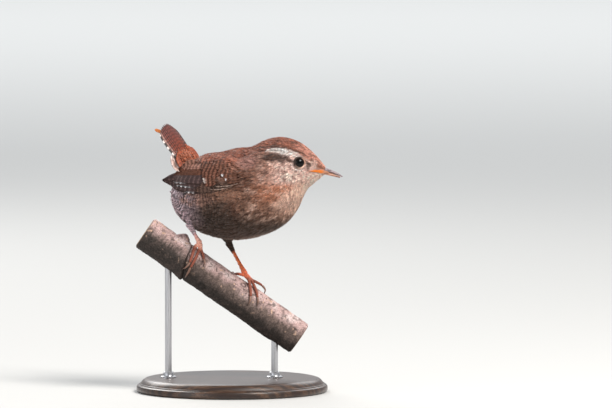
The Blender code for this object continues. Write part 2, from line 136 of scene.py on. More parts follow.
@dataclass(frozen=True)
class Rib:
    """One cross-section of a lofted form, drawn between two points of its upright plane."""

    top: tuple[float, float]
    bottom: tuple[float, float]
    half_width: float
    egg: float = 0.0


@dataclass(frozen=True)
class Stance:
    """How the straight bird is turned and set over the branch."""

    spot: tuple[float, float, float] = (2.0, -2.0, 0.0)
    yaw: float = math.radians(-22.0)
    neck_turn: float = math.radians(18.0)
    turn_start: float = 10.0
    turn_pivot: float = 17.0
    turn_end: float = 24.0

    def place(self, points: np.ndarray) -> np.ndarray:
        """Points of the straight bird in the world, in millimetres."""
        share = ramp(points[:, 0], self.turn_start, self.turn_end)
        pivot = np.array([self.turn_pivot, 0.0, 0.0])
        bent = turned(points - pivot, self.neck_turn * share, 0, 1) + pivot
        return turned(bent, self.yaw, 0, 1) + np.array(self.spot)

    def straighten(self, points: np.ndarray) -> np.ndarray:
        """World points brought back into the straight bird, by repeated correction."""
        bent = turned(points - np.array(self.spot), -self.yaw, 0, 1)
        pivot = np.array([self.turn_pivot, 0.0, 0.0])
        found = bent
        for _ in range(24):
            share = ramp(found[:, 0], self.turn_start, self.turn_end)
            found = turned(bent - pivot, -self.neck_turn * share, 0, 1) + pivot
        return found


class Surface(Protocol):
    """A form that feathers grow on, with a place along it, an angle round it and a depth."""

    lie: float

    def own(self, along: np.ndarray, angle: np.ndarray, depth: np.ndarray) -> np.ndarray:
        """Points in the form's own frame."""

    def to_world(self, points: np.ndarray) -> np.ndarray:
        """Own points in the world."""


@dataclass(frozen=True)
class LoftSurface:
    """A form lofted through ribs. Places run along its list of ribs, past its ends too."""

    ribs: tuple[Rib, ...]
    carry: Callable[[np.ndarray], np.ndarray]
    lie: float = -1.0

    def table(self) -> np.ndarray:
        """The ribs' sizes, one row each."""
        return np.array([[*r.top, *r.bottom, r.half_width, r.egg] for r in self.ribs])

    def own(self, along: np.ndarray, angle: np.ndarray, depth: np.ndarray) -> np.ndarray:
        """Points of the form, in its own frame.

        Args:
            along: Places in the list of ribs.
            angle: Angles from the top of a rib, towards the left.
            depth: How far inside the form.

        Returns:
            Points as (forward, left, up).
        """
        read = read_spline(self.table(), along)
        beyond = np.minimum(along, 0.0) + np.maximum(along - (len(self.ribs) - 1), 0.0)
        top, bottom = read[:, :2], read[:, 2:4]
        middle, axis = (top + bottom) / 2, top - bottom
        full = np.linalg.norm(axis, axis=1)
        half_height = np.maximum(full / 2 - depth, full * 0.1)
        half_width = np.maximum(read[:, 4] - depth, read[:, 4] * 0.2)
        up = axis / full[:, None]
        out = half_width * np.sin(angle) * (1 - read[:, 5] * np.cos(angle))
        flat = middle + up * (half_height * np.cos(angle))[:, None]
        shift = np.stack([up[:, 1], -up[:, 0]], axis=1) * beyond[:, None]
        return np.stack([flat[:, 0] + shift[:, 0], out, flat[:, 1] + shift[:, 1]], axis=1)

    def to_world(self, points: np.ndarray) -> np.ndarray:
        """Own points in the world, in millimetres."""
        return self.carry(points)


@dataclass(frozen=True)
class TubeSurface:
    """A straight round form of changing radius, in the world."""

    start: tuple[float, float, float]
    end: tuple[float, float, float]
    radii: tuple[float, ...]
    lie: float = 1.0

    def own(self, along: np.ndarray, angle: np.ndarray, depth: np.ndarray) -> np.ndarray:
        """Points of the form, in world millimetres.

        Args:
            along: Places in the list of radii.
            angle: Angles round the form.
            depth: How far inside the form.

        Returns:
            Points, one row each.
        """
        start, end = np.array(self.start), np.array(self.end)
        axis = unit(end - start)
        side = unit(np.cross(axis, np.array([0.0, 1.0, 0.0])))
        other = np.cross(axis, side)
        radius = np.interp(along, np.arange(len(self.radii)), self.radii)
        radius = np.maximum(radius - depth, 0.3 * radius)
        share = along / (len(self.radii) - 1)
        ring = np.cos(angle)[:, None] * side + np.sin(angle)[:, None] * other
        return start + (end - start) * share[:, None] + ring * radius[:, None]

    def to_world(self, points: np.ndarray) -> np.ndarray:
        """The same points, as this form is drawn in the world."""
        return points


@dataclass(frozen=True)
class TailFrame:
    """Where the cocked tail is rooted and how it is turned."""

    root: tuple[float, float] = (-20.0, 103.2)
    rise: float = math.radians(53.0)
    roll: float = math.radians(20.0)

    def to_bird(self, points: np.ndarray) -> np.ndarray:
        """Tail points, as (along, left, over), in the straight bird."""
        rolled = turned(points, self.roll, 1, 2)
        back = np.array([-math.cos(self.rise), 0.0, math.sin(self.rise)])
        over = np.array([math.sin(self.rise), 0.0, math.cos(self.rise)])
        root = np.array([self.root[0], 0.0, self.root[1]])
        left = rolled[:, 1:2] * np.array([0.0, 1.0, 0.0])
        return root + back * points[:, :1] + left + over * rolled[:, 2:3]


STANCE = Stance()
TAIL_FRAME = TailFrame()

BODY_FORM = LoftSurface((
    Rib((-31.4, 94.5), (-31.4, 89.6), 2.6),
    Rib((-30.6, 98.0), (-30.6, 85.8), 6.6),
    Rib((-27.6, 102.8), (-27.6, 81.2), 10.6),
    Rib((-22.0, 107.0), (-22.0, 77.0), 13.8),
    Rib((-15.0, 110.2), (-15.0, 73.8), 16.4),
    Rib((-7.0, 113.0), (-7.0, 72.0), 18.0),
    Rib((1.0, 115.0), (1.0, 71.5), 18.7),
    Rib((7.0, 115.5), (9.5, 72.8), 18.4, 0.06),
    Rib((11.0, 117.2), (18.0, 75.6), 16.8, 0.14),
    Rib((15.0, 119.1), (25.0, 79.9), 14.6, 0.20),
    Rib((19.2, 120.2), (30.0, 86.0), 12.2, 0.20),
    Rib((23.3, 120.4), (32.8, 92.0), 10.3, 0.13),
    Rib((27.5, 119.5), (34.9, 95.9), 9.1, 0.06),
    Rib((31.8, 117.6), (37.4, 98.2), 7.7),
    Rib((36.0, 114.5), (39.6, 100.1), 5.8),
    Rib((39.5, 111.0), (41.2, 101.3), 4.1),
    Rib((42.0, 108.0), (42.1, 102.2), 2.8),
    Rib((43.3, 106.4), (42.9, 102.9), 2.15),
), STANCE.place)

TAIL_FORM = LoftSurface((
    Rib((0.0, 3.8), (0.0, -5.0), 5.6),
    Rib((4.5, 3.8), (4.5, -4.8), 6.0),
    Rib((9.0, 3.1), (9.0, -3.6), 6.4),
    Rib((13.0, 2.3), (13.0, -2.1), 6.6),
    Rib((17.5, 1.5), (17.5, -1.0), 6.6),
    Rib((22.0, 0.8), (22.0, -0.6), 6.3),
    Rib((25.0, 0.3), (25.0, -0.7), 5.4),
    Rib((26.9, -0.1), (26.9, -0.9), 3.6),
    Rib((27.7, -0.3), (27.7, -0.9), 1.6),
), lambda points: STANCE.place(TAIL_FRAME.to_bird(points)), lie=1.0)

THIGH_FORMS = {
    "left": TubeSurface((-3.4, 8.6, 80.0), (-1.2, 7.9, 68.6), (5.0, 4.7, 4.1, 3.0, 1.1)),
    "right": TubeSurface((-19.0, -1.6, 88.5), (-19.6, -3.3, 78.2), (4.2, 4.0, 3.5, 2.6, 1.2)),
}

EYE_RADIUS = 3.0
EYE_SPOT = (31.1, 108.5)
EYE_RIB = 12.15
EYE_BEHIND_FEATHERS = 2.0
EYE_OPENING = 2.35


def eye_out() -> float:
    """How far to the side the middle of an eyeball lies."""
    rib = read_spline(BODY_FORM.table(), np.array([EYE_RIB]))[0]
    return float(rib[4]) - EYE_BEHIND_FEATHERS


def to_world(point: Sequence[float]) -> Vector:
    """One point of the straight bird in the world, in millimetres."""
    return Vector(STANCE.place(np.array([point], dtype=float))[0])


# Meshes and pieces

class Forge:
    """Makes and finishes the meshes of pieces."""

    @staticmethod
    def finish(bm: bmesh.types.BMesh, name: str, material: bpy.types.Material | None,
               smooth: bool = True) -> bpy.types.Object:
        """Turns a bmesh in millimetres into an object in metres.

        Args:
            bm: The mesh, which is used up.
            name: The object's name.
            material: Its finish.
            smooth: Whether it is shaded smooth.

        Returns:
            The object, linked to the scene.
        """
        bmesh.ops.scale(bm, vec=(MM, MM, MM), verts=bm.verts)
        bmesh.ops.recalc_face_normals(bm, faces=bm.faces)
        mesh = bpy.data.meshes.new(name)
        bm.to_mesh(mesh)
        bm.free()
        if smooth:
            mesh.shade_smooth()
        obj = bpy.data.objects.new(name, mesh)
        bpy.context.scene.collection.objects.link(obj)
        if material:
            mesh.materials.append(material)
        return obj

    @staticmethod
    def warp(bm: bmesh.types.BMesh, bend: Callable[[np.ndarray], np.ndarray]) -> None:
        """Moves every vertex of a bmesh by a function over all its points."""
        points = np.array([v.co[:] for v in bm.verts])
        for vert, point in zip(bm.verts, bend(points)):
            vert.co = point

    @staticmethod
    def tube(steps: int, sides: int, bend: Callable[[np.ndarray, np.ndarray], np.ndarray],
             ) -> bmesh.types.BMesh:
        """A closed tube, made of a grid that is rolled up and capped at both ends.

        Args:
            steps: How many lengths it has.
            sides: How many sides it has.
            bend: Gives its points from shares along it and angles round it.

        Returns:
            The bmesh, in millimetres.
        """
        bm = bmesh.new()
        bmesh.ops.create_grid(bm, x_segments=steps, y_segments=sides, size=0.5)
        Forge.warp(bm, lambda p: bend(p[:, 0] + 0.5, (p[:, 1] + 0.5) * 2 * math.pi))
        bmesh.ops.remove_doubles(bm, verts=bm.verts, dist=1e-4)
        loose = [e for e in bm.edges if e.is_boundary]
        bmesh.ops.holes_fill(bm, edges=loose, sides=0)
        caps = [f for f in bm.faces if len(f.verts) > 4]
        bmesh.ops.poke(bm, faces=caps)
        return bm

    @staticmethod
    def lathe(profile: Sequence[tuple[float, float]], steps: int) -> bmesh.types.BMesh:
        """A closed turned body round Z from (radius, height) points that begin and end at the axis."""
        bm = bmesh.new()
        bmesh.ops.create_circle(bm, segments=len(profile), radius=1.0)
        bm.verts.ensure_lookup_table()
        for vert, (radius, height) in zip(bm.verts, profile):
            vert.co = (radius, 0.0, height)
        closing = [e for e in bm.edges if {v.index for v in e.verts} == {0, len(profile) - 1}]
        bmesh.ops.delete(bm, geom=closing, context="EDGES")
        bmesh.ops.spin(bm, geom=bm.verts[:] + bm.edges[:], axis=(0, 0, 1), cent=(0, 0, 0),
                       steps=steps, angle=2 * math.pi, use_merge=True)
        bmesh.ops.remove_doubles(bm, verts=bm.verts, dist=1e-4)
        return bm

    @staticmethod
    def crisp(obj: bpy.types.Object, degrees: float = 35.0) -> bpy.types.Object:
        """Keeps the edges sharp where faces meet at more than an angle."""
        obj.data.set_sharp_from_angle(angle=math.radians(degrees))
        return obj

    @staticmethod
    def applied(obj: bpy.types.Object) -> bpy.types.Object:
        """The object with its modifiers worked into its mesh."""
        graph = bpy.context.evaluated_depsgraph_get()
        mesh = bpy.data.meshes.new_from_object(obj.evaluated_get(graph))
        obj.modifiers.clear()
        old, obj.data = obj.data, mesh
        mesh.name = obj.name
        bpy.data.meshes.remove(old)
        return obj


def declare(obj: bpy.types.Object, slot: str, *nodes: str) -> bpy.types.Object:
    """Fixes a piece to the body, and hides the nodes that it stands for."""
    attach(obj, BODY)
    if nodes:
        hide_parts(*nodes)
    LOG.info("%s: %d faces", obj.name, len(obj.data.polygons))
    return obj


# Finishes

class Bench:
    """Builds the nodes of one material."""

    def __init__(self, name: str, roughness: float) -> None:
        """Starts a Principled material.

        Args:
            name: The material's name.
            roughness: Its even roughness.
        """
        self.material = bpy.data.materials.new(name)
        self.material.use_nodes = True
        self.tree = self.material.node_tree
        self.shader = self.tree.nodes["Principled BSDF"]
        self.shader.inputs["Roughness"].default_value = roughness

    def set(self, socket: str, value: float | tuple) -> None:
        """Sets an even value on the shader."""
        self.shader.inputs[socket].default_value = value

    def link(self, output: bpy.types.NodeSocket, target: bpy.types.NodeSocket | str) -> None:
        """Joins an output to a socket, or to one of the shader's by name."""
        if isinstance(target, str):
            target = self.shader.inputs[target]
        self.tree.links.new(output, target)

    def feed(self, socket: bpy.types.NodeSocket, value) -> None:
        """Joins an output to a socket, or sets the socket to a plain value."""
        if isinstance(value, bpy.types.NodeSocket):
            self.tree.links.new(value, socket)
        elif isinstance(value, tuple) and len(value) == 3 and socket.type == "RGBA":
            socket.default_value = (*value, 1.0)
        else:
            socket.default_value = value

    def attribute(self, name: str, output: str) -> bpy.types.NodeSocket:
        """An attribute of the mesh, by its name and the kind of output."""
        node = self.tree.nodes.new("ShaderNodeAttribute")
        node.attribute_name = name
        return node.outputs[output]

    def place(self, scale: tuple[float, float, float], turn: tuple[float, float, float] = (0, 0, 0),
              spot: tuple[float, float, float] = (0, 0, 0)) -> bpy.types.NodeSocket:
        """Object coordinates, moved, turned and scaled."""
        source = self.tree.nodes.new("ShaderNodeTexCoord")
        mapping = self.tree.nodes.new("ShaderNodeMapping")
        mapping.vector_type = "POINT"
        mapping.inputs["Location"].default_value = spot
        mapping.inputs["Rotation"].default_value = turn
        mapping.inputs["Scale"].default_value = scale
        self.tree.links.new(source.outputs["Object"], mapping.inputs["Vector"])
        return mapping.outputs["Vector"]

    def vector(self, x, y, z) -> bpy.types.NodeSocket:
        """A vector from three values or outputs."""
        node = self.tree.nodes.new("ShaderNodeCombineXYZ")
        for socket, value in zip(node.inputs, (x, y, z)):
            self.feed(socket, value)
        return node.outputs[0]

    def noise(self, vector: bpy.types.NodeSocket, scale: float, detail: float = 2.0,
              distortion: float = 0.0) -> bpy.types.NodeSocket:
        """Noise from 0 to 1."""
        node = self.tree.nodes.new("ShaderNodeTexNoise")
        node.inputs["Scale"].default_value = scale
        node.inputs["Detail"].default_value = detail
        node.inputs["Distortion"].default_value = distortion
        self.tree.links.new(vector, node.inputs["Vector"])
        return node.outputs["Fac"]

    def cells(self, vector: bpy.types.NodeSocket, scale: float, feature: str = "DISTANCE_TO_EDGE",
              ) -> bpy.types.NodeSocket:
        """The distance output of a pattern of cells."""
        node = self.tree.nodes.new("ShaderNodeTexVoronoi")
        node.feature = feature
        node.inputs["Scale"].default_value = scale
        self.tree.links.new(vector, node.inputs["Vector"])
        return node.outputs["Distance"]

    def math(self, operation: str, first, second=0.0, clamp: bool = False) -> bpy.types.NodeSocket:
        """One sum over values or outputs."""
        node = self.tree.nodes.new("ShaderNodeMath")
        node.operation = operation
        node.use_clamp = clamp
        self.feed(node.inputs[0], first)
        self.feed(node.inputs[1], second)
        return node.outputs[0]

    def spread(self, value, low: float, high: float, to_low: float = 0.0, to_high: float = 1.0,
               ) -> bpy.types.NodeSocket:
        """A value carried smoothly from one range to another, and held there."""
        node = self.tree.nodes.new("ShaderNodeMapRange")
        node.interpolation_type = "SMOOTHSTEP"
        self.feed(node.inputs["Value"], value)
        node.inputs["From Min"].default_value = low
        node.inputs["From Max"].default_value = high
        node.inputs["To Min"].default_value = to_low
        node.inputs["To Max"].default_value = to_high
        return node.outputs["Result"]

    def mix(self, first, second, share, blend: str = "MIX") -> bpy.types.NodeSocket:
        """Two colours mixed."""
        node = self.tree.nodes.new("ShaderNodeMix")
        node.data_type = "RGBA"
        node.blend_type = blend
        self.feed(node.inputs[0], share)
        self.feed(node.inputs[6], first)
        self.feed(node.inputs[7], second)
        return node.outputs[2]

    def bump(self, height, strength: float, distance_mm: float) -> None:
        """Gives the shader a bump."""
        node = self.tree.nodes.new("ShaderNodeBump")
        node.inputs["Strength"].default_value = strength
        node.inputs["Distance"].default_value = distance_mm * MM
        self.feed(node.inputs["Height"], height)
        self.link(node.outputs["Normal"], "Normal")


@dataclass(frozen=True)
class FeatherFinish:
    """Barbed feathers that carry their colour, bars and barbs in the mesh's attributes."""

    name: str
    roughness: float = 0.7
    bar_warp: float = 0.22
    bar_dark: float = 0.72
    bar_edge: float = 0.28
    bar_start: float = 0.0
    barb_scale: float = 8.0
    barb_contrast: float = 0.3
    mottle: float = 0.25
    sheen: float = 0.12
    gloss: float = 0.25

    def made(self) -> bpy.types.Material:
        """The material."""
        b = Bench(self.name, self.roughness)
        coat = b.attribute("Coat", "Color")
        phase = b.attribute("Phase", "Fac")
        across = b.attribute("Across", "Fac")
        wander = b.noise(b.place((1000.0,) * 3), 0.55, 2.0)
        shifted = b.math("MULTIPLY_ADD", wander, 2 * self.bar_warp)
        b.tree.links.new(phase, shifted.node.inputs[2])
        wave = b.math("SINE", b.math("MULTIPLY", shifted, 2 * math.pi))
        bar = b.spread(wave, self.bar_start - self.bar_edge, self.bar_start + self.bar_edge)
        bar = b.math("MULTIPLY", bar, b.attribute("Bars", "Fac"))
        dark = b.math("MULTIPLY_ADD", bar, -self.bar_dark, clamp=True)
        dark.node.inputs[2].default_value = 1.0
        barbs = b.noise(b.vector(b.math("MULTIPLY", across, self.barb_scale), phase, wander), 1.0, 3.0)
        barbs = b.spread(barbs, 0.3, 0.7, 1.0 - self.barb_contrast, 1.0 + self.barb_contrast)
        patches = b.noise(b.place((1000.0,) * 3), 1.4, 3.0)
        patches = b.spread(patches, 0.3, 0.7, 1.0 - self.mottle, 1.0 + self.mottle)
        gain = b.math("MULTIPLY", b.math("MULTIPLY", dark, barbs), patches)
        scale = b.tree.nodes.new("ShaderNodeVectorMath")
        scale.operation = "SCALE"
        b.link(coat, scale.inputs[0])
        b.link(gain, scale.inputs["Scale"])
        b.link(scale.outputs[0], "Base Color")
        b.bump(barbs, 0.35, 0.05)
        b.set("Sheen Weight", self.sheen)
        b.set("Sheen Roughness", 0.5)
        b.set("Sheen Tint", (0.95, 0.85, 0.78, 1.0))
        b.set("Specular IOR Level", self.gloss)
        return b.material


# Markings of the plumage

class Tone:
    """Colours of the plumage."""

    CROWN: Colour = (0.475, 0.176, 0.112)
    FOREHEAD: Colour = (0.94, 0.425, 0.31)
    NAPE: Colour = (0.32, 0.143, 0.104)
    BROW: Colour = (1.0, 0.89, 0.84)
    BROW_FRONT: Colour = (1.0, 0.76, 0.70)
    BROW_EDGE: Colour = (0.09, 0.05, 0.04)
    STRIPE: Colour = (0.090, 0.042, 0.030)
    LORE: Colour = (0.16, 0.09, 0.07)
    CHEEK: Colour = (0.92, 0.62, 0.54)
    CHEEK_FLECK: Colour = (0.20, 0.09, 0.065)
    CHIN: Colour = (1.0, 0.70, 0.60)
    THROAT: Colour = (0.95, 0.63, 0.50)
    BREAST_SIDE: Colour = (0.69, 0.277, 0.156)
    BREAST: Colour = (0.375, 0.186, 0.121)
    SHOULDER: Colour = (0.180, 0.070, 0.040)
    BACK: Colour = (0.46, 0.155, 0.094)
    SCAPULAR: Colour = (0.31, 0.128, 0.078)
    FLANK: Colour = (0.175, 0.094, 0.066)
    # The belly's buff-brown, painted much darker with the shade under the bird.
    SHADED_BELLY: Colour = (0.070, 0.038, 0.0255)
    # The vent's pale barred tone, brightened and tinted lilac by a painted rim light from behind.
    VENT_AND_RIM_LIGHT: Colour = (0.92, 0.69, 0.76)
    RUMP: Colour = (0.43, 0.115, 0.052)
    PALE_FRINGE: Colour = (0.62, 0.33, 0.25)
    EAR: Colour = (0.52, 0.275, 0.20)
    MANTLE: Colour = (0.60, 0.31, 0.255)


class Wash:
    """A colour to each point, laid over in layers."""

    def __init__(self, count: int, ground: Colour) -> None:
        """Starts with one colour.

        Args:
            count: How many points.
            ground: The colour.
        """
        self.colour = np.tile(np.array(ground), (count, 1))

    def lay(self, mask: np.ndarray, colour: Colour | np.ndarray) -> None:
        """Lays a colour over the others, where the mask is 1."""
        self.colour += (np.asarray(colour) - self.colour) * np.clip(mask, 0, 1)[:, None]


@dataclass(frozen=True)
class Streak:
    """A drawn line on the side of the head, as points with half widths."""

    points: tuple[tuple[float, float, float], ...]
    softness: float = 0.5

    def mask(self, forward: np.ndarray, up: np.ndarray) -> np.ndarray:
        """How much of the streak lies at each place, from 0 to 1."""
        best = np.full(len(forward), 9.0)
        for (f1, u1, w1), (f2, u2, w2) in zip(self.points, self.points[1:]):
            df, du = f2 - f1, u2 - u1
            share = np.clip(((forward - f1) * df + (up - u1) * du) / (df * df + du * du), 0, 1)
            gap = np.hypot(forward - f1 - df * share, up - u1 - du * share)
            best = np.minimum(best, gap / (w1 + (w2 - w1) * share))
        return ramp(best, 1.0 + self.softness, 1.0 - self.softness)


@dataclass(frozen=True)
class Area:
    """A soft-edged round area on the side of the bird."""

    forward: float
    up: float
    reach_forward: float
    reach_up: float

    def mask(self, forward: np.ndarray, up: np.ndarray) -> np.ndarray:
        """How much of the area lies at each place, from 0 to 1."""
        gap = np.hypot((forward - self.forward) / self.reach_forward, (up - self.up) / self.reach_up)
        return ramp(gap, 1.3, 0.7)


class BodyMarking:
    """The pattern of the trunk, neck and head, in the straight bird's frame."""

    BROW = Streak(((17.0, 114.3, 0.15), (19.0, 114.6, 0.75), (22.4, 114.4, 1.2), (26.4, 113.3, 1.3),
                   (29.5, 112.5, 1.05), (32.4, 111.2, 0.7), (34.6, 109.9, 0.45), (37.0, 108.8, 0.3)), 0.3)
    BROW_EDGE = Streak(((13.0, 115.4, 0.5), (18.0, 116.2, 0.6), (23.0, 116.0, 0.6), (27.5, 114.8, 0.5),
                        (31.5, 113.3, 0.3)), 0.5)
    STRIPE = Streak(((17.6, 111.2, 1.3), (20.0, 111.3, 1.9), (23.0, 111.0, 1.7), (25.6, 110.5, 1.1),
                     (28.2, 109.2, 0.5)), 0.4)
    LORE_LINE = Streak(((33.4, 110.6, 0.25), (35.2, 108.6, 0.45), (36.2, 107.6, 0.4)), 0.5)
    GAPE_LINE = Streak(((35.0, 104.6, 0.25), (39.0, 104.9, 0.3), (42.0, 105.2, 0.3)), 0.5)
    MALAR = Streak(((40.0, 102.2, 0.3), (36.0, 100.7, 0.4), (31.0, 98.7, 0.5), (26.0, 96.0, 0.6)), 0.6)
    LORE = Area(35.7, 107.5, 1.2, 1.25)
    LORE_LIGHT = Area(38.2, 108.2, 1.5, 1.6)
    MANTLE_LIGHT = Area(10.5, 109.0, 4.2, 3.0)
    CHEEK_LIGHT = Area(27.5, 101.6, 4.0, 2.4)
    FLANK_LIGHT = Area(2.0, 93.6, 11.5, 3.0)
    REAR_LIGHT = Area(-15.0, 91.5, 9.5, 3.6)
    SPOT_SEED, FLECK_SEED, TONE_SEED, SPECK_SEED, CROWN_SEED, WEAR_SEED = 5, 11, 17, 23, 29, 37

    def tones(self, own: np.ndarray, share: np.ndarray) -> np.ndarray:
        """Colours of points on the body.

        Args:
            own: Points as (forward, left, up).
            share: Not used.

        Returns:
            One colour to each.
        """
        f, side, u = own[:, 0], np.abs(own[:, 1]), own[:, 2]
        fleck = value_noise(own, 1.15, self.FLECK_SEED)
        broad = value_noise(own, 5.0, self.TONE_SEED)
        streak = value_noise(own * np.array([0.45, 1.0, 1.0]), 1.1, self.SPOT_SEED)
        wash = Wash(len(own), Tone.BACK)
        wash.lay(ramp(f, 4, 14), Tone.NAPE)
        wash.lay(ramp(u, 110.5, 106) * ramp(f, -20, -8), Tone.SCAPULAR)
        wash.lay(ramp(f, -19, -26) * ramp(u, 100, 104), Tone.RUMP)
        lower = ramp(u, 103.5 + 0 * f, 98.5)
        wash.lay(lower, Tone.FLANK)
        wash.lay(ramp(u, 108, 102) * ramp(f, 1, 9), Tone.SHOULDER)
        wash.lay(ramp(u, 106, 100) * ramp(f, 11, 19), Tone.BREAST_SIDE)
        wash.lay(ramp(u, 95, 88) * ramp(f, 4, 13), Tone.BREAST)
        # The lower breast and belly take the belly's tone with its painted shade.
        wash.lay(ramp(u + 0.10 * f, 90.5, 80), Tone.SHADED_BELLY)
        ceiling = np.interp(f, (-27.2, -25.0, -22.5), (106.5, 103.8, 99.5))
        vent = ramp(f + 5.0 * (broad - 0.5), -9, -25) * ramp(u, ceiling, ceiling - 3)
        # The vent's pale tone, with its painted rim light.
        wash.lay(vent * ramp(u + 6.0 * (fleck - 0.5), 75, 84), Tone.VENT_AND_RIM_LIGHT)
        wash.lay(vent * ramp(streak, 0.5, 0.7) * 0.5, Tone.FLANK)
        wash.lay(ramp(side, 7, 2) * ramp(u, 92, 86) * ramp(f, 30, 10) * 0.25, Tone.THROAT)
        wash.lay(lower * ramp(f, 6, 14) * ramp(streak, 0.52, 0.72) * 0.6 * ramp(u, 78, 84), Tone.THROAT)
        wash.lay(lower * ramp(streak, 0.45, 0.25) * 0.45, Tone.SHADED_BELLY)
        upper = ramp(u, 99, 104) * ramp(f, 15, 9)
        wash.lay(upper * ramp(value_noise(own, 1.7, self.SPECK_SEED), 0.54, 0.74) * 0.5, Tone.PALE_FRINGE)
        wash.lay(upper * ramp(fleck, 0.42, 0.24) * 0.5, Tone.BROW_EDGE)
        wash.lay(self.FLANK_LIGHT.mask(f, u) * 0.9, Tone.BREAST)
        wash.lay(self.REAR_LIGHT.mask(f, u) * ramp(streak, 0.35, 0.6) * 0.75, Tone.PALE_FRINGE)
        wash.lay(self.MANTLE_LIGHT.mask(f, u) * 0.85, Tone.MANTLE)
        self.lay_head(wash, own, fleck)
        gain = 0.78 + 0.44 * broad
        pale = np.maximum(self.BROW.mask(f, u), ramp(f, 30, 35) * ramp(u, 105, 102.5))
        gain += (1.08 - gain) * np.maximum(pale, 0.7 * self.CHEEK_LIGHT.mask(f, u))
        return wash.colour * gain[:, None]

    def lay_head(self, wash: Wash, own: np.ndarray, fleck: np.ndarray) -> None:
        """Lays the head's colours over the rest.

        Args:
            wash: The colours so far.
            own: Points as (forward, left, up).
            fleck: Fine noise at each point.
        """
        f, u = own[:, 0], own[:, 2]
        scaly = value_noise(own * np.array([0.55, 1.0, 1.0]), 0.7, self.CROWN_SEED)
        brow_line = np.interp(f, (10, 18, 24, 29, 33, 38, 43), (114.5, 115.6, 115.2, 113.6, 111.4, 108.9, 106))
        crown = ramp(u - brow_line, -0.6, 0.8) * ramp(f, 9, 15)
        wash.lay(crown, Tone.CROWN)
        wash.lay(crown * ramp(f, 27, 36), Tone.FOREHEAD)
        wash.lay(crown * ramp(scaly, 0.5, 0.3) * 0.65, Tone.BROW_EDGE)
        wash.lay(crown * ramp(f, 26, 34) * ramp(scaly, 0.58, 0.8) * 0.5, Tone.CHEEK)
        cheek = ramp(u - brow_line, -1.0, -2.6) * ramp(f, 12, 18) * ramp(u, 97, 101)
        wash.lay(cheek, Tone.EAR)
        wash.lay(cheek * ramp(f, 16.5, 24.5), Tone.CHEEK)
        throat_edge = np.interp(f, (16, 24, 32, 40), (84, 93, 99.5, 103.0))
        throat = ramp(f, 17, 26) * ramp(u - throat_edge, 3.4, -1.2) * ramp(u, 82, 90)
        wash.lay(throat * 0.85, Tone.THROAT)
        wash.lay(ramp(f, 31, 37) * ramp(u, 104.2, 102.6), Tone.CHIN)
        wash.lay(self.CHEEK_LIGHT.mask(f, u) * 0.9, Tone.CHIN)
        dark = cheek * ramp(fleck, 0.56, 0.72) * (1 - 0.8 * ramp(f, 30, 34) * ramp(u, 106, 103))
        wash.lay(dark * 0.72, Tone.CHEEK_FLECK)
        wash.lay(cheek * ramp(fleck, 0.42, 0.26) * 0.5, Tone.CHIN)
        wash.lay(throat * ramp(fleck, 0.62, 0.80) * 0.4, Tone.CHEEK_FLECK)
        wash.lay(self.MALAR.mask(f, u) * 0.2, Tone.CHEEK_FLECK)
        wash.lay(self.BROW_EDGE.mask(f, u) * 0.75, Tone.BROW_EDGE)
        wash.lay(self.STRIPE.mask(f, u) * 0.93, Tone.STRIPE)
        brow = self.BROW.mask(f, u) * (0.9 + 0.1 * fleck)
        wash.lay(brow, Tone.BROW)
        wash.lay(brow * ramp(f, 24, 28), Tone.BROW_FRONT)
        wash.lay(brow * ramp(f, 31, 34) * 0.7, Tone.FOREHEAD)
        wash.lay(self.LORE_LIGHT.mask(f, u) * 0.7, Tone.CHIN)
        wash.lay(self.LORE.mask(f, u) * 0.8, Tone.LORE)
        wash.lay(self.LORE_LINE.mask(f, u) * 0.8, Tone.LORE)
        wash.lay(self.GAPE_LINE.mask(f, u) * 0.5, Tone.FOREHEAD)
        gap = np.hypot(f - EYE_SPOT[0], u - EYE_SPOT[1])
        under = ramp(np.abs(gap - 3.1), 0.75, 0.3) * ramp(u, EYE_SPOT[1] + 0.6, EYE_SPOT[1] - 0.8)
        wash.lay(under * 0.75, Tone.BROW_FRONT)

    def bars(self, own: np.ndarray) -> tuple[np.ndarray, np.ndarray]:
        """The bars' strength and phase at points on the body.

        Args:
            own: Points as (forward, left, up).

        Returns:
            The strength from 0 to 1, and the phase in bars.
        """
        f, u = own[:, 0], own[:, 2]
        upper = ramp(u, 99, 101) * ramp(f, -28, -25)
        along = f + 0.55 * np.maximum(0.0, 90.0 - u) * ramp(f, -12, -24)
        along += ramp(f, -22.5, -29) * (0.9 * (90.0 - u) - 0.75 * (f + 25.0))
        along += 3.0 * (value_noise(own, 4.5, self.SPOT_SEED) - 0.5) * (1 - upper)
        along += 0.8 * (value_noise(own, 1.9, self.FLECK_SEED) - 0.5) * (1 - upper)
        phase = along * (upper / 2.0 + (1 - upper) / 1.45)
        strength = 0.75 * ramp(f, 3, -5) * (1 - upper) + 0.62 * ramp(f, 4, -4) * upper
        strength = np.maximum(strength, 0.35 * ramp(f, 14, 6) * upper)
        strength *= 1 - 0.35 * ramp(u, 82, 76)
        strength = np.maximum(strength, 1.15 * ramp(f, -12, -20) * (1 - upper))
        strength *= 0.55 + 0.6 * value_noise(own, 2.6, self.WEAR_SEED)
        return strength * ramp(f, 14, 8), phase

    def drift(self, own: np.ndarray) -> np.ndarray:
        """How far, in bars, the bars of each feather stray from its neighbours'."""
        rear = ramp(own[:, 0], -10, -20) * ramp(own[:, 2], 98, 94)
        return 0.05 + 0.24 * rear * ramp(np.abs(own[:, 1]), 7.5, 4.5)


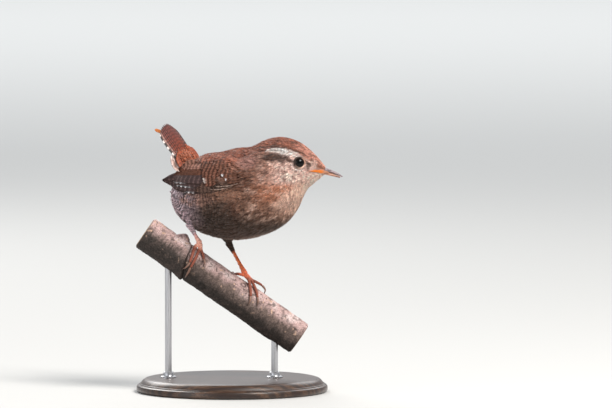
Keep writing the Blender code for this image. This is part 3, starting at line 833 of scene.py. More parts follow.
class TailMarking:
    """The pattern of the tail's coverts, in the tail's frame."""

    def tones(self, own: np.ndarray, share: np.ndarray) -> np.ndarray:
        """Colours of points on the tail's base.

        Args:
            own: Points as (along, left, over).
            share: How far along its feather each point is.

        Returns:
            One colour to each.
        """
        wash = Wash(len(own), Tone.RUMP)
        under = ramp(own[:, 2], 0.3, -0.2)
        wash.lay(under, Tone.EAR)
        # Pale tips under the tail, in the vent's tone with its painted rim light.
        wash.lay(under * ramp(share, 0.45, 0.9) * 0.6, Tone.VENT_AND_RIM_LIGHT)
        return wash.colour * (0.8 + 0.4 * value_noise(own, 2.0, 3))[:, None]

    def bars(self, own: np.ndarray) -> tuple[np.ndarray, np.ndarray]:
        """The bars' strength and phase at points on the tail's base."""
        under = ramp(own[:, 2], 0.5, -1.0)
        return 0.35 + 0.3 * under, own[:, 0] / 1.7 + 0.3 * value_noise(own, 1.5, 6)

    def drift(self, own: np.ndarray) -> np.ndarray:
        """How far the bars of each feather stray from its neighbours'."""
        return np.full(len(own), 0.15)


class ThighMarking:
    """The pattern of the feathered thighs, with painted shade low down on them."""

    def tones(self, own: np.ndarray, share: np.ndarray) -> np.ndarray:
        """Colours of points on a thigh, in the world."""
        wash = Wash(len(own), Tone.FLANK)
        wash.lay(ramp(value_noise(own, 1.3, 8), 0.4, 0.6), Tone.SHADED_BELLY)
        # Painted shade: the thigh grows darker low down, under the belly.
        wash.lay(ramp(own[:, 2], 76, 68) * 0.7, Tone.SHADED_BELLY)
        # The back of the thigh in the vent's tone, with its painted rim light.
        wash.lay(ramp(own[:, 0], -12, -15) * 0.9, Tone.VENT_AND_RIM_LIGHT)
        return wash.colour

    def bars(self, own: np.ndarray) -> tuple[np.ndarray, np.ndarray]:
        """The bars' strength and phase at points on a thigh."""
        return np.full(len(own), 0.6), own[:, 2] / 1.2

    def drift(self, own: np.ndarray) -> np.ndarray:
        """How far the bars of each feather stray from its neighbours'."""
        return np.full(len(own), 0.15)


# Feathers

class Cut(Enum):
    """The outline that a feather is cut to."""

    VANE = "vane"
    BARB = "barb"
    FLIGHT = "flight"

    def width(self, along: np.ndarray) -> np.ndarray:
        """Half widths along a feather, as shares of its widest."""
        if self is Cut.VANE:
            return np.sin(math.pi * along**0.85) ** 0.6
        if self is Cut.BARB:
            return np.sqrt(np.clip(1.0 - along, 0, 1)) * np.minimum(1.0, along * 6.0)
        return np.minimum(1.0, 0.35 + 1.9 * along) * np.clip((1.0 - along) * 7.0, 0, 1) ** 0.55


@dataclass(frozen=True)
class Template:
    """One closed spindle that all the feathers of a piece are stretched from."""

    along: np.ndarray
    cosine: np.ndarray
    sine: np.ndarray
    faces: tuple[tuple[int, ...], ...]
    sheet: np.ndarray

    @staticmethod
    def spun(sides: int, lengths: int) -> "Template":
        """A spindle from a ball's meridians and bands.

        Args:
            sides: How many sides it has.
            lengths: How many lengths from root to tip.

        Returns:
            The template, with a flat place in `sheet` for each corner of each face.
        """
        bm = bmesh.new()
        bmesh.ops.create_uvsphere(bm, u_segments=sides, v_segments=lengths, radius=1.0)
        bm.verts.ensure_lookup_table()
        spots = np.array([v.co[:] for v in bm.verts])
        along = 1.0 - np.arccos(np.clip(spots[:, 2], -1, 1)) / math.pi
        around = np.arctan2(spots[:, 1], spots[:, 0]) + math.pi / 2
        faces = tuple(tuple(v.index for v in f.verts) for f in bm.faces)
        sheet = []
        for face in faces:
            ring = [i for i in face if 1e-4 < along[i] < 1 - 1e-4]
            first = around[ring[0]]
            near = {i: (around[i] - first + math.pi) % (2 * math.pi) - math.pi + first for i in ring}
            middle = sum(near.values()) / len(near)
            sheet += [(near.get(i, middle) / (2 * math.pi), along[i] - 0.5) for i in face]
        bm.free()
        cosine = np.cos(around)
        return Template(along, cosine / np.abs(cosine).max(), np.sin(around), faces, np.array(sheet))


@dataclass
class Roots:
    """Where feathers are rooted on a form."""

    along: np.ndarray
    angle: np.ndarray
    own: np.ndarray

    def picked(self, keep: np.ndarray) -> "Roots":
        """The roots that a mask or an order picks."""
        return Roots(self.along[keep], self.angle[keep], self.own[keep])


class Sower:
    """Finds places for roots on a form."""

    CELLS_ALONG, CELLS_ROUND = 420, 220

    def __init__(self, surface: Surface, span: tuple[float, float]) -> None:
        """Measures the form in small cells.

        Args:
            surface: The form.
            span: The places where the roots begin and end along it.
        """
        self.surface = surface
        edges_along = np.linspace(*span, self.CELLS_ALONG + 1)
        edges_round = np.linspace(0, 2 * math.pi, self.CELLS_ROUND + 1)
        a, r = np.meshgrid(edges_along, edges_round, indexing="ij")
        world = surface.to_world(surface.own(a.ravel(), r.ravel(), np.zeros(a.size)))
        grid = world.reshape(*a.shape, 3)
        d1 = grid[1:, 1:] - grid[:-1, :-1]
        d2 = grid[1:, :-1] - grid[:-1, 1:]
        self.area = np.linalg.norm(np.cross(d1, d2), axis=2).ravel() / 2
        self.low_along, self.low_round = a[:-1, :-1].ravel(), r[:-1, :-1].ravel()
        self.step = (edges_along[1] - edges_along[0], edges_round[1])

    def scattered(self, spacing: Callable[[Roots], np.ndarray], seed: int, apart: bool) -> Roots:
        """Roots at random, as dense as their spacing asks.

        Args:
            spacing: Gives the spacing in millimetres at places on the form.
            seed: Picks one of many like scatters.
            apart: Whether roots that crowd each other are thinned out.

        Returns:
            The roots, in the order of their places along the form.
        """
        rng = np.random.default_rng(seed)
        cells = self.at(self.low_along, self.low_round)
        density = self.area / spacing(cells) ** 2
        count = int(density.sum() * (3.0 if apart else 1.0))
        picked = rng.choice(len(density), size=count, p=density / density.sum())
        roots = self.at(self.low_along[picked] + rng.random(count) * self.step[0],
                        self.low_round[picked] + rng.random(count) * self.step[1])
        if apart:
            roots = roots.picked(self.thinned(roots, spacing(roots) * 0.8))
        return roots.picked(np.argsort(roots.along, kind="stable"))

    def at(self, along: np.ndarray, angle: np.ndarray) -> Roots:
        """Roots at given places."""
        return Roots(along, angle, self.surface.own(along, angle, np.zeros(len(along))))

    def thinned(self, roots: Roots, gap: np.ndarray) -> np.ndarray:
        """A mask of roots that keep a gap to each other."""
        tree = KDTree(len(roots.own))
        for i, spot in enumerate(roots.own):
            tree.insert(spot, i)
        tree.balance()
        alive = np.ones(len(roots.own), dtype=bool)
        for i, spot in enumerate(roots.own):
            if alive[i]:
                for _, j, _ in tree.find_range(spot, gap[i]):
                    alive[j] = j == i
        return alive


@dataclass
class Growth:
    """How the feathers at a set of roots are shaped, one value to each."""

    length: np.ndarray
    width: np.ndarray
    turn: np.ndarray
    root_depth: np.ndarray
    tip_depth: np.ndarray
    thick: float
    curl: float
    cut: Cut

    def picked(self, keep: np.ndarray) -> "Growth":
        """The growth of the roots that a mask or an order picks."""
        return Growth(self.length[keep], self.width[keep], self.turn[keep], self.root_depth[keep],
                      self.tip_depth[keep], self.thick, self.curl, self.cut)


class Planter:
    """Turns roots into closed feathers that lie along a form."""

    STEP = 0.01
    PATCH = 0.003

    def __init__(self, surface: Surface, marking, template: Template) -> None:
        """Readies a planter.

        Args:
            surface: The form.
            marking: Gives tones and bars at own points of the form.
            template: The spindle that the feathers are stretched from.
        """
        self.surface, self.marking, self.template = surface, marking, template

    def frame_at(self, roots: Roots, growth: Growth) -> tuple[np.ndarray, ...]:
        """How a millimetre along and across each feather moves its place on the form.

        Args:
            roots: The roots.
            growth: Their growth, whose turn is the lie's turn to the left.

        Returns:
            Two arrays of (along, angle) steps, along and across the feather.
        """
        def spot(along, angle, depth):
            return self.surface.to_world(self.surface.own(along, angle, depth))
        a, r, d = roots.along, roots.angle, growth.root_depth
        e = self.STEP
        by_along = (spot(a + e, r, d) - spot(a - e, r, d)) / (2 * e)
        by_angle = (spot(a, r + e, d) - spot(a, r - e, d)) / (2 * e)
        normal = unit(np.cross(by_along, by_angle))
        outward = spot(a, r, d - 0.1) - spot(a, r, d)
        normal *= np.sign((normal * outward).sum(axis=1))[:, None]
        lie = unit(self.surface.lie * by_along)
        left = np.cross(normal, lie)
        c, s = np.cos(growth.turn)[:, None], np.sin(growth.turn)[:, None]
        heading, across = lie * c + left * s, left * c - lie * s
        g11 = (by_along**2).sum(axis=1)
        g22 = (by_angle**2).sum(axis=1)
        g12 = (by_along * by_angle).sum(axis=1)
        spread = g11 * g22 - g12**2

        def steps(vector):
            v1, v2 = (vector * by_along).sum(axis=1), (vector * by_angle).sum(axis=1)
            return np.stack([(g22 * v1 - g12 * v2) / spread, (g11 * v2 - g12 * v1) / spread], axis=1)
        return steps(heading), steps(across)

    def planted(self, name: str, roots: Roots, growth: Growth, shade: np.ndarray,
                material: bpy.types.Material) -> bpy.types.Object:
        """Makes one piece of many feathers.

        Args:
            name: The piece's name.
            roots: The roots.
            growth: Their growth.
            shade: A gain on each feather's colour.
            material: The finish.

        Returns:
            The piece, with its colours, bars and flat map.
        """
        t = self.template
        ahead, aside = self.frame_at(roots, growth)
        share = np.tile(t.along, (len(roots.along), 1))
        shape = growth.cut.width(t.along)
        half = growth.width[:, None] / 2 * shape * t.cosine
        x = share * growth.length[:, None]
        along = roots.along[:, None] + ahead[:, :1] * x + aside[:, :1] * half
        angle = roots.angle[:, None] + ahead[:, 1:] * x + aside[:, 1:] * half
        depth = growth.root_depth[:, None] + (growth.tip_depth - growth.root_depth)[:, None] * share
        depth += growth.curl * (shape * t.cosine) ** 2 * growth.width[:, None]
        depth -= growth.thick / 2 * t.sine * np.sqrt(shape)
        own = self.surface.own(along.ravel(), angle.ravel(), depth.ravel())
        world = self.surface.to_world(own)
        tones = self.marking.tones(own, share.ravel()) * np.repeat(shade, len(t.along))[:, None]
        # Darker towards each feather's root: its greyer down, and painted shade under the feathers over it.
        tones *= (0.72 + 0.34 * smooth_step(share.ravel() * 1.6))[:, None]
        bars, phase = self.marking.bars(own)
        drift = self.marking.drift(roots.own) * np.sin(977.0 * (roots.along + 3.1 * roots.angle))
        phase = phase + np.repeat(drift, len(t.along))
        mesh = joined_copies(name, world, len(roots.along), t)
        paint(mesh, tones, bars, phase, half.ravel() + np.repeat(roots.angle * 40, len(t.along)))
        flat = self.flat_places(roots)
        flat_map(mesh, (flat[:, None, :] + t.sheet[None] * self.PATCH).reshape(-1, 2))
        obj = bpy.data.objects.new(name, mesh)
        bpy.context.scene.collection.objects.link(obj)
        mesh.materials.append(material)
        return obj

    def flat_places(self, roots: Roots) -> np.ndarray:
        """Each root's place on the form unrolled flat, in a unit square."""
        spots = np.stack([roots.along, roots.angle], axis=1)
        low, high = spots.min(axis=0), spots.max(axis=0)
        margin = 2 * self.PATCH
        return margin + (spots - low) / np.maximum(high - low, 1e-9) * (1 - 2 * margin)


def joined_copies(name: str, world: np.ndarray, copies: int, template: Template) -> bpy.types.Mesh:
    """Joins copies of a template into one mesh.

    Args:
        name: The mesh's name.
        world: The points of all the copies, in world millimetres.
        copies: How many there are.
        template: Gives the faces.

    Returns:
        The mesh, in metres, shaded smooth.
    """
    corners = np.array([i for face in template.faces for i in face])
    counts = np.array([len(face) for face in template.faces])
    starts = np.concatenate([[0], np.cumsum(counts)[:-1]])
    per_copy = len(template.along)
    mesh = bpy.data.meshes.new(name)
    mesh.vertices.add(len(world))
    mesh.loops.add(len(corners) * copies)
    mesh.polygons.add(len(counts) * copies)
    offsets = np.arange(copies)[:, None]
    mesh.vertices.foreach_set("co", (world * MM).astype(np.float32).ravel())
    mesh.loops.foreach_set("vertex_index", (corners[None] + offsets * per_copy).ravel().astype(np.int32))
    mesh.polygons.foreach_set("loop_start", (starts[None] + offsets * len(corners)).ravel().astype(np.int32))
    mesh.update(calc_edges=True)
    mesh.shade_smooth()
    return mesh


def paint(mesh: bpy.types.Mesh, tones: np.ndarray, bars: np.ndarray, phase: np.ndarray,
          across: np.ndarray) -> None:
    """Writes a mesh's colours, and its bars' strength, phase and place across, to its points.

    Args:
        mesh: The mesh.
        tones: One colour to each point.
        bars: The strength of the bars at each point.
        phase: The phase of the bars at each point.
        across: The place across its feather of each point, in millimetres.
    """
    coat = mesh.attributes.new("Coat", "FLOAT_COLOR", "POINT")
    full = np.concatenate([np.clip(tones, 0.0, 1.0), np.ones((len(tones), 1))], axis=1)
    coat.data.foreach_set("color", full.astype(np.float32).ravel())
    for name, values in (("Bars", bars), ("Phase", phase), ("Across", across)):
        made = mesh.attributes.new(name, "FLOAT", "POINT")
        made.data.foreach_set("value", values.astype(np.float32))


def flat_map(mesh: bpy.types.Mesh, places: np.ndarray) -> None:
    """Gives a mesh the flat map that its colours are kept on, one place to each corner."""
    layer = mesh.uv_layers.new(name="OFBake")
    layer.data.foreach_set("uv", places.astype(np.float32).ravel())


# The skin and the coat

def coat_depth(along: np.ndarray) -> np.ndarray:
    """How deep the coat is on the body, at places in its list of ribs."""
    return np.interp(along, (0, 2, 9, 11, 13, 15, 16.3, 17), (0.9, 1.15, 1.15, 0.9, 0.6, 0.42, 0.28, 0.15))


@dataclass
class Skin:
    """The one skin of the trunk, neck, head, thighs and the root of the tail."""

    material: bpy.types.Material
    steps: int = 150
    sides: int = 96
    voxel: float = 0.55
    thigh_depth: float = 0.7
    tail_length: float = 2.0
    shade: float = 0.6
    marking: BodyMarking = field(default_factory=BodyMarking)

    def build(self) -> bpy.types.Object:
        """Joins the forms into one closed skin and paints it."""
        bm = Forge.tube(self.steps, self.sides, self.body)
        for form in THIGH_FORMS.values():
            self.add(bm, Forge.tube(16, 24, lambda s, r, form=form: form.own(
                s * (len(form.radii) - 1.1), r, np.full(len(s), self.thigh_depth))))
        self.add(bm, Forge.tube(20, 32, lambda s, r: TAIL_FORM.to_world(TAIL_FORM.own(
            s * self.tail_length - 0.6, r, 1.2 + 1.2 * s))))
        obj = Forge.finish(bm, "skin", self.material)
        remesh = obj.modifiers.new("join", "REMESH")
        remesh.mode = "VOXEL"
        remesh.voxel_size = self.voxel * MM
        remesh.use_smooth_shade = True
        Forge.applied(obj)
        self.dress(obj)
        return declare(obj, "plumage", "trunk", "neck", "head", "thigh_left", "thigh_right")

    def body(self, share: np.ndarray, angle: np.ndarray) -> np.ndarray:
        """Points of the body under its coat, in the world."""
        along = share * (len(BODY_FORM.ribs) - 1)
        return STANCE.place(BODY_FORM.own(along, angle, coat_depth(along)))

    @staticmethod
    def add(bm: bmesh.types.BMesh, other: bmesh.types.BMesh) -> None:
        """Adds one bmesh to another."""
        mesh = bpy.data.meshes.new("added")
        bmesh.ops.recalc_face_normals(other, faces=other.faces)
        other.to_mesh(mesh)
        other.free()
        bm.from_mesh(mesh)
        bpy.data.meshes.remove(mesh)

    def dress(self, obj: bpy.types.Object) -> None:
        """Gives the skin the coat's markings."""
        mesh = obj.data
        spots = np.empty(len(mesh.vertices) * 3)
        mesh.vertices.foreach_get("co", spots)
        own = STANCE.straighten(spots.reshape(-1, 3) / MM)
        bars, phase = self.marking.bars(own)
        tones = self.marking.tones(own, np.zeros(len(own))) * self.shade
        paint(mesh, tones, bars, phase, own[:, 1] * 3.0)


@dataclass
class Coat:
    """The small feathers of the body, head and neck, as overlapping vanes with fine barbs over them."""

    material: bpy.types.Material
    knots: tuple[float, ...] = (0.0, 2.0, 6.0, 9.0, 11.0, 12.2, 13.6, 15.0, 16.0, 17.0)
    length: tuple[float, ...] = (4.4, 5.2, 5.4, 4.8, 3.7, 2.7, 2.1, 1.7, 1.25, 0.9)
    spacing: tuple[float, ...] = (1.25, 1.45, 1.5, 1.35, 1.05, 0.82, 0.7, 0.56, 0.44, 0.36)
    plump: float = 0.52
    barb_density: float = 0.42
    barb_length: float = 0.62
    barb_width: float = 0.075
    eye_clear: float = 2.6
    vanes_to_a_piece: int = 8000
    barbs_to_a_piece: int = 16000
    marking: BodyMarking = field(default_factory=BodyMarking)

    def read(self, values: tuple[float, ...], roots: Roots) -> np.ndarray:
        """A size at each root, from those at the knots."""
        return np.interp(roots.along, self.knots, values)

    def build(self) -> None:
        """Grows the vanes, then the barbs."""
        sower = Sower(BODY_FORM, (0.0, 17.0))
        vanes = sower.scattered(lambda r: self.read(self.spacing, r), 3, True)
        vanes = vanes.picked(self.clear(vanes))
        planter = Planter(BODY_FORM, self.marking, Template.spun(3, 5))
        self.grow(planter, "coat", vanes, self.vane_growth(vanes), self.vanes_to_a_piece, 0.10)
        barbs = sower.scattered(lambda r: self.read(self.spacing, r) * self.barb_density, 7, False)
        barbs = barbs.picked(self.clear(barbs))
        planter = Planter(BODY_FORM, self.marking, Template.spun(3, 3))
        self.grow(planter, "barbs", barbs, self.barb_growth(barbs), self.barbs_to_a_piece, 0.22)

    def clear(self, roots: Roots) -> np.ndarray:
        """Which roots lie clear of the eyes and aren't hidden by the wings."""
        gap = np.hypot(roots.own[:, 0] - EYE_SPOT[0], roots.own[:, 2] - EYE_SPOT[1])
        beside_eye = (gap < self.eye_clear) & (np.abs(roots.own[:, 1]) > 3.0)
        return ~(beside_eye | Wing.hides(roots.own))

    def vane_growth(self, roots: Roots) -> Growth:
        """The shapes of the vanes."""
        rng = np.random.default_rng(21)
        length = self.read(self.length, roots) * rng.uniform(0.85, 1.15, len(roots.along))
        length *= self.eye_shortening(roots)
        lift = Wing.drape(roots.own)
        depth = coat_depth(roots.along)
        return Growth(length, length * self.plump, self.lie_turn(roots) + rng.normal(0, 0.10, len(length)),
                      depth - lift * 0.25, 0.05 + rng.uniform(-0.22, 0.12, len(length)) * length / 4 - lift,
                      0.10, 0.10, Cut.VANE)

    def barb_growth(self, roots: Roots) -> Growth:
        """The shapes of the barbs."""
        rng = np.random.default_rng(22)
        count = len(roots.along)
        length = self.read(self.length, roots) * self.barb_length * rng.uniform(0.6, 1.25, count)
        length *= self.eye_shortening(roots)
        lift = Wing.drape(roots.own)
        depth = coat_depth(roots.along) * 0.45
        width = 0.05 + self.barb_width * np.sqrt(length)
        return Growth(length, width, self.lie_turn(roots) + rng.normal(0, 0.22, count),
                      depth - lift * 0.8, rng.uniform(-0.22, 0.12, count) * length / 3 - lift,
                      0.05, 0.0, Cut.BARB)

    def eye_shortening(self, roots: Roots) -> np.ndarray:
        """How much shorter feathers are around an eye."""
        gap = np.hypot(roots.own[:, 0] - EYE_SPOT[0], roots.own[:, 2] - EYE_SPOT[1])
        return 0.42 + 0.58 * ramp(gap, self.eye_clear, self.eye_clear + 3.5)

    def lie_turn(self, roots: Roots) -> np.ndarray:
        """How far the lie turns to the left where feathers part round an eye, in radians."""
        rf, ru = roots.own[:, 0] - EYE_SPOT[0], roots.own[:, 2] - EYE_SPOT[1]
        gap2 = np.maximum(rf**2 + ru**2, self.eye_clear**2)
        push = self.eye_clear**2 / gap2
        flow_f = -1.0 + push * (2 * rf * rf / gap2 - 1.0)
        flow_u = push * 2 * rf * ru / gap2
        turn = np.arctan2(-flow_u, -flow_f)
        beside = np.abs(roots.own[:, 1]) > 3.0
        near = ramp(np.sqrt(gap2), 9.0, 5.0)
        return np.where(beside, -np.sign(roots.own[:, 1]) * turn * near, 0.0)

    def grow(self, planter: Planter, kind: str, roots: Roots, growth: Growth, limit: int,
             uneven: float) -> None:
        """Plants roots in pieces by their tract.

        Args:
            planter: Plants them.
            kind: The first word of the pieces' names.
            roots: The roots.
            growth: Their growth.
            limit: The most feathers in a piece.
            uneven: How much the feathers differ in brightness.
        """
        rng = np.random.default_rng(31)
        shade = np.exp(rng.normal(0, uneven, len(roots.along)))
        height = np.cos(roots.angle)
        tracts = {
            "head": roots.along >= 11.0,
            "neck": (roots.along >= 8.5) & (roots.along < 11.0),
            "back": (roots.along < 8.5) & (height > 0.35),
            "flanks": (roots.along < 8.5) & (height <= 0.35) & (height > -0.5),
            "belly": (roots.along < 8.5) & (height <= -0.5),
        }
        for tract, inside in tracts.items():
            found = np.flatnonzero(inside)
            pieces = max(1, math.ceil(len(found) / limit))
            for number, part in enumerate(np.array_split(found, pieces), 1):
                name = f"{kind}_{tract}" + (f"_{number}" if pieces > 1 else "")
                obj = planter.planted(name, roots.picked(part), growth.picked(part), shade[part],
                                      self.material)
                declare(obj, "plumage")


@dataclass
class ThighCoat:
    """The feathers of the thighs, which end in a sleeve of short ones over the top of the shank."""

    material: bpy.types.Material
    spacing: float = 0.8
    length: float = 3.2
    sleeve_spacing: float = 0.42
    sleeve_length: float = 1.9
    sleeve_reach: float = 4.2
    sleeve_radii: tuple[float, ...] = (2.0, 1.75, 1.45, 1.22, 1.04)

    def build(self) -> None:
        """Grows the feathers of both thighs and their sleeves."""
        for side, form in THIGH_FORMS.items():
            rng = np.random.default_rng(5)
            roots = Sower(form, (0.0, 3.7)).scattered(lambda r: np.full(len(r.along), self.spacing), 4, True)
            count = len(roots.along)
            taper = np.interp(roots.along, (0, 3, 3.7), (1, 0.9, 0.85))
            hug = np.interp(roots.along, (2.0, 3.0, 3.7), (0.0, 0.5, 1.0))
            length = self.length * taper * rng.uniform(0.8, 1.2, count)
            growth = Growth(length, length * 0.4, rng.normal(0, 0.12, count), 0.7 * taper,
                            rng.uniform(-0.25, 0.1, count) * taper + hug, 0.10, 0.1, Cut.VANE)
            self.plant(f"coat_thigh_{side}", form, roots, growth)
            self.grow_sleeve(side)

    def grow_sleeve(self, side: str) -> None:
        """Grows the short feathers over the top of one shank."""
        top = np.array(Foot.SHANK_TOPS[side])
        ahead = unit(BRANCH.spot(*Foot.JOINTS[side]) - top)
        form = TubeSurface(tuple(top - ahead * 1.9), tuple(top + ahead * self.sleeve_reach), self.sleeve_radii)
        roots = Sower(form, (0.0, 3.1)).scattered(lambda r: np.full(len(r.along), self.sleeve_spacing), 8, True)
        rng = np.random.default_rng(6)
        count = len(roots.along)
        length = self.sleeve_length * rng.uniform(0.6, 1.25, count)
        growth = Growth(length, length * 0.3, rng.normal(0, 0.1, count), np.full(count, 0.22),
                        rng.uniform(0.0, 0.14, count), 0.07, 0.1, Cut.VANE)
        self.plant(f"coat_shank_{side}", form, roots, growth)

    def plant(self, name: str, form: TubeSurface, roots: Roots, growth: Growth) -> None:
        """Makes one piece of the coat."""
        shade = np.exp(np.random.default_rng(7).normal(0, 0.12, len(roots.along)))
        planter = Planter(form, ThighMarking(), Template.spun(3, 5))
        declare(planter.planted(name, roots, growth, shade, self.material), "plumage")


# Flight feathers

@dataclass(frozen=True)
class Look:
    """The colours of a kind of flight feather, and how strongly its two webs are barred."""

    web: Colour
    edge: Colour
    web_bars: float
    edge_bars: float
    tip: Colour | None = None
    tip_start: float = 0.8
    plain_from: float = -60.0
    edge_start: float = 0.25
    edge_reach: tuple[float, float] | None = None
    far: Colour | None = None


class Kind(Enum):
    """The kinds of flight feathers and their coverts."""

    PRIMARY = Look((0.108, 0.067, 0.066), (0.155, 0.096, 0.09), 0.35, 0.6)
    SPOTTED_LOW = Look((0.065, 0.038, 0.033), (0.95, 0.88, 0.88), 0.3, 1.15, edge_start=0.3,
                       edge_reach=(-14.0, -20.5))
    SPOTTED_MIDDLE = Look((0.065, 0.038, 0.033), (1.0, 0.94, 0.95), 0.3, 1.15, edge_start=0.2,
                          edge_reach=(-16.0, -26.0))
    SPOTTED_HIGH = Look((0.065, 0.038, 0.033), (1.0, 0.94, 0.95), 0.3, 1.15, edge_start=0.2,
                        edge_reach=(-21.0, -27.5))
    SECONDARY = Look((0.19, 0.078, 0.050), (0.30, 0.135, 0.09), 0.6, 0.5, plain_from=-11.5, edge_start=0.6)
    TERTIAL = Look((0.21, 0.085, 0.055), (0.30, 0.135, 0.09), 0.6, 0.5, plain_from=-12.5, edge_start=0.7)
    TERTIAL_BARRED = Look((0.30, 0.145, 0.105), (0.38, 0.19, 0.145), 0.7, 0.6)
    GREATER = Look((0.195, 0.083, 0.056), (0.235, 0.10, 0.068), 0.8, 0.75)
    GREATER_PALE = Look((0.185, 0.080, 0.054), (0.235, 0.108, 0.073), 0.8, 0.8, (0.74, 0.62, 0.56), 0.90)
    MEDIAN = Look((0.21, 0.089, 0.059), (0.25, 0.107, 0.071), 0.75, 0.7)
    MEDIAN_SPOT = Look((0.195, 0.083, 0.056), (0.21, 0.09, 0.061), 0.75, 0.7, (0.97, 0.95, 0.97), 0.86)
    PRIMARY_COVERT = Look((0.115, 0.064, 0.05), (0.20, 0.12, 0.09), 0.6, 0.5, edge_start=0.5)
    ALULA = Look((0.07, 0.04, 0.03), (0.68, 0.50, 0.42), 0.5, 0.45, edge_start=0.45)
    TAIL = Look((0.225, 0.042, 0.0185), (0.20, 0.038, 0.017), 0.5, 0.55, far=(0.15, 0.042, 0.035))
    TAIL_COVERT = Look((0.36, 0.078, 0.033), (0.40, 0.09, 0.038), 0.4, 0.4)
    VENT_COVERT = Look((0.56, 0.33, 0.26), (0.74, 0.56, 0.51), 0.4, 0.3, (0.80, 0.66, 0.62), 0.85)
    UNDER_COVERT = Look((0.36, 0.20, 0.15), (0.44, 0.27, 0.21), 0.8, 0.7, (0.74, 0.60, 0.56), 0.88)
    TAIL_LINED = Look((0.12, 0.045, 0.035), (0.62, 0.33, 0.28), 0.7, 0.25, edge_start=0.5)
    TAIL_OUTER = Look((0.105, 0.043, 0.032), (0.92, 0.80, 0.76), 0.85, 0.97)
    # The far side's outer tail feathers, painted dark and plain as shade.
    TAIL_FAR_SHADED = Look((0.12, 0.045, 0.035), (0.20, 0.085, 0.07), 0.8, 0.8)
    TAIL_STRAY = Look((0.50, 0.155, 0.045), (0.56, 0.18, 0.05), 0.1, 0.1)


@dataclass(frozen=True)
class Quill:
    """One flight feather, drawn flat from root through middle to tip.

    `plus` is the width of the web to the left of its heading, and `minus` of the other one.
    """

    root: tuple[float, float]
    middle: tuple[float, float]
    tip: tuple[float, float]
    plus: float
    minus: float
    layer: float
    kind: Kind
    edge_is_plus: bool = True


@dataclass
class QuillPress:
    """Presses flat-drawn flight feathers onto a bed, as one piece."""

    material: bpy.types.Material
    template: Template = field(default_factory=lambda: Template.spun(8, 16))
    thick: float = 0.16
    camber: float = 0.16
    rise: float = 1.7
    sunk: float = -0.2

    def pressed(self, name: str, quills: Sequence[Quill], period: float,
                bed: Callable[[np.ndarray, np.ndarray, np.ndarray], np.ndarray],
                ) -> bpy.types.Object:
        """Makes one piece of several feathers.

        Args:
            name: The piece's name.
            quills: The feathers.
            period: The length of one bar and its gap.
            bed: Gives world points from two flat coordinates and the height over the bed.

        Returns:
            The piece, with its colours, bars and flat map.
        """
        t = self.template
        root, middle, tip = (np.array([getattr(q, k) for q in quills])[:, None, :]
                             for k in ("root", "middle", "tip"))
        control = 2 * middle - (root + tip) / 2
        a = t.along[None, :, None]
        shaft = (1 - a) ** 2 * root + 2 * a * (1 - a) * control + a**2 * tip
        heading = unit(2 * (1 - a) * (control - root) + 2 * a * (tip - control))
        left = np.stack([-heading[..., 1], heading[..., 0]], axis=-1)
        shape = Cut.FLIGHT.width(t.along)
        plus, minus, layer = (np.array([getattr(q, k) for q in quills])[:, None]
                              for k in ("plus", "minus", "layer"))
        across = t.cosine * shape * np.where(t.cosine > 0, plus, minus)
        flat = shaft + left * across[..., None]
        rise = layer * smooth_step(np.minimum(t.along * self.rise, 1.0)) + (layer > 0.6) * self.sunk
        height = rise + self.thick / 2 * t.sine * np.sqrt(shape) - self.camber * across**2 / 4
        world = bed(flat[..., 0].ravel(), flat[..., 1].ravel(), height.ravel())
        mesh = joined_copies(name, world, len(quills), t)
        face_out(mesh)
        tones, bars = self.dressed(quills, flat[..., 0])
        phase = flat[..., 0] / period + 0.2 * np.sin(7.0 * np.arange(len(quills)))[:, None]
        slant = 0.35 * np.abs(across) / period
        paint(mesh, tones, bars, (phase + slant).ravel(), across.ravel() * 2.0)
        flat_map(mesh, self.cells(len(quills)))
        obj = bpy.data.objects.new(name, mesh)
        bpy.context.scene.collection.objects.link(obj)
        mesh.materials.append(self.material)
        return obj

    def dressed(self, quills: Sequence[Quill], forward: np.ndarray) -> tuple[np.ndarray, np.ndarray]:
        """Colours and bar strengths of every point of the feathers.

        Args:
            quills: The feathers.
            forward: The first flat coordinate of each point.

        Returns:
            One colour and one strength to each point.
        """
        t = self.template
        tones, bars = [], []
        for number, (quill, place) in enumerate(zip(quills, forward)):
            look = quill.kind.value
            to_edge = t.cosine if quill.edge_is_plus else -t.cosine
            edge = ramp(to_edge, look.edge_start, look.edge_start + 0.4)
            if look.edge_reach:
                near, far = look.edge_reach
                edge = edge * ramp(place, near, near - 2.5) * ramp(place, far, far + 1.5)
            wash = Wash(len(t.along), look.web)
            wash.lay(edge, look.edge)
            strength = look.web_bars + (look.edge_bars - look.web_bars) * edge
            if look.far:
                wash.lay(ramp(place, 13.0, 25.0), look.far)
            plain = ramp(place, look.plain_from, look.plain_from - 3.0)
            wash.colour *= (1 - 0.42 * plain)[:, None]
            strength = strength * (1 - 0.75 * plain)
            if look.tip:
                at_tip = ramp(t.along, look.tip_start - 0.05, look.tip_start + 0.02)
                wash.lay(at_tip, look.tip)
                strength = strength * (1 - at_tip)
            wash.colour *= 0.93 + 0.14 * ((number * 0.618) % 1.0)
            wash.colour *= (1 - 0.25 * ramp(np.abs(t.cosine), 0.3, 0.0) * ramp(t.sine, 0.2, 0.8))[:, None]
            tones.append(wash.colour)
            bars.append(strength)
        return np.concatenate(tones), np.concatenate(bars)

    def cells(self, count: int) -> np.ndarray:
        """A flat map with one cell to each feather."""
        rows = max(1, math.ceil(math.sqrt(count / 4)))
        columns = math.ceil(count / rows)
        sheet = self.template.sheet
        low, high = sheet.min(axis=0), sheet.max(axis=0)
        inside = 0.04 + 0.92 * (sheet - low) / (high - low)
        number = np.arange(count)
        corner = np.stack([number % columns, number // columns], axis=1)[:, None, :]
        return ((corner + inside[None]) / np.array([columns, rows])).reshape(-1, 2)


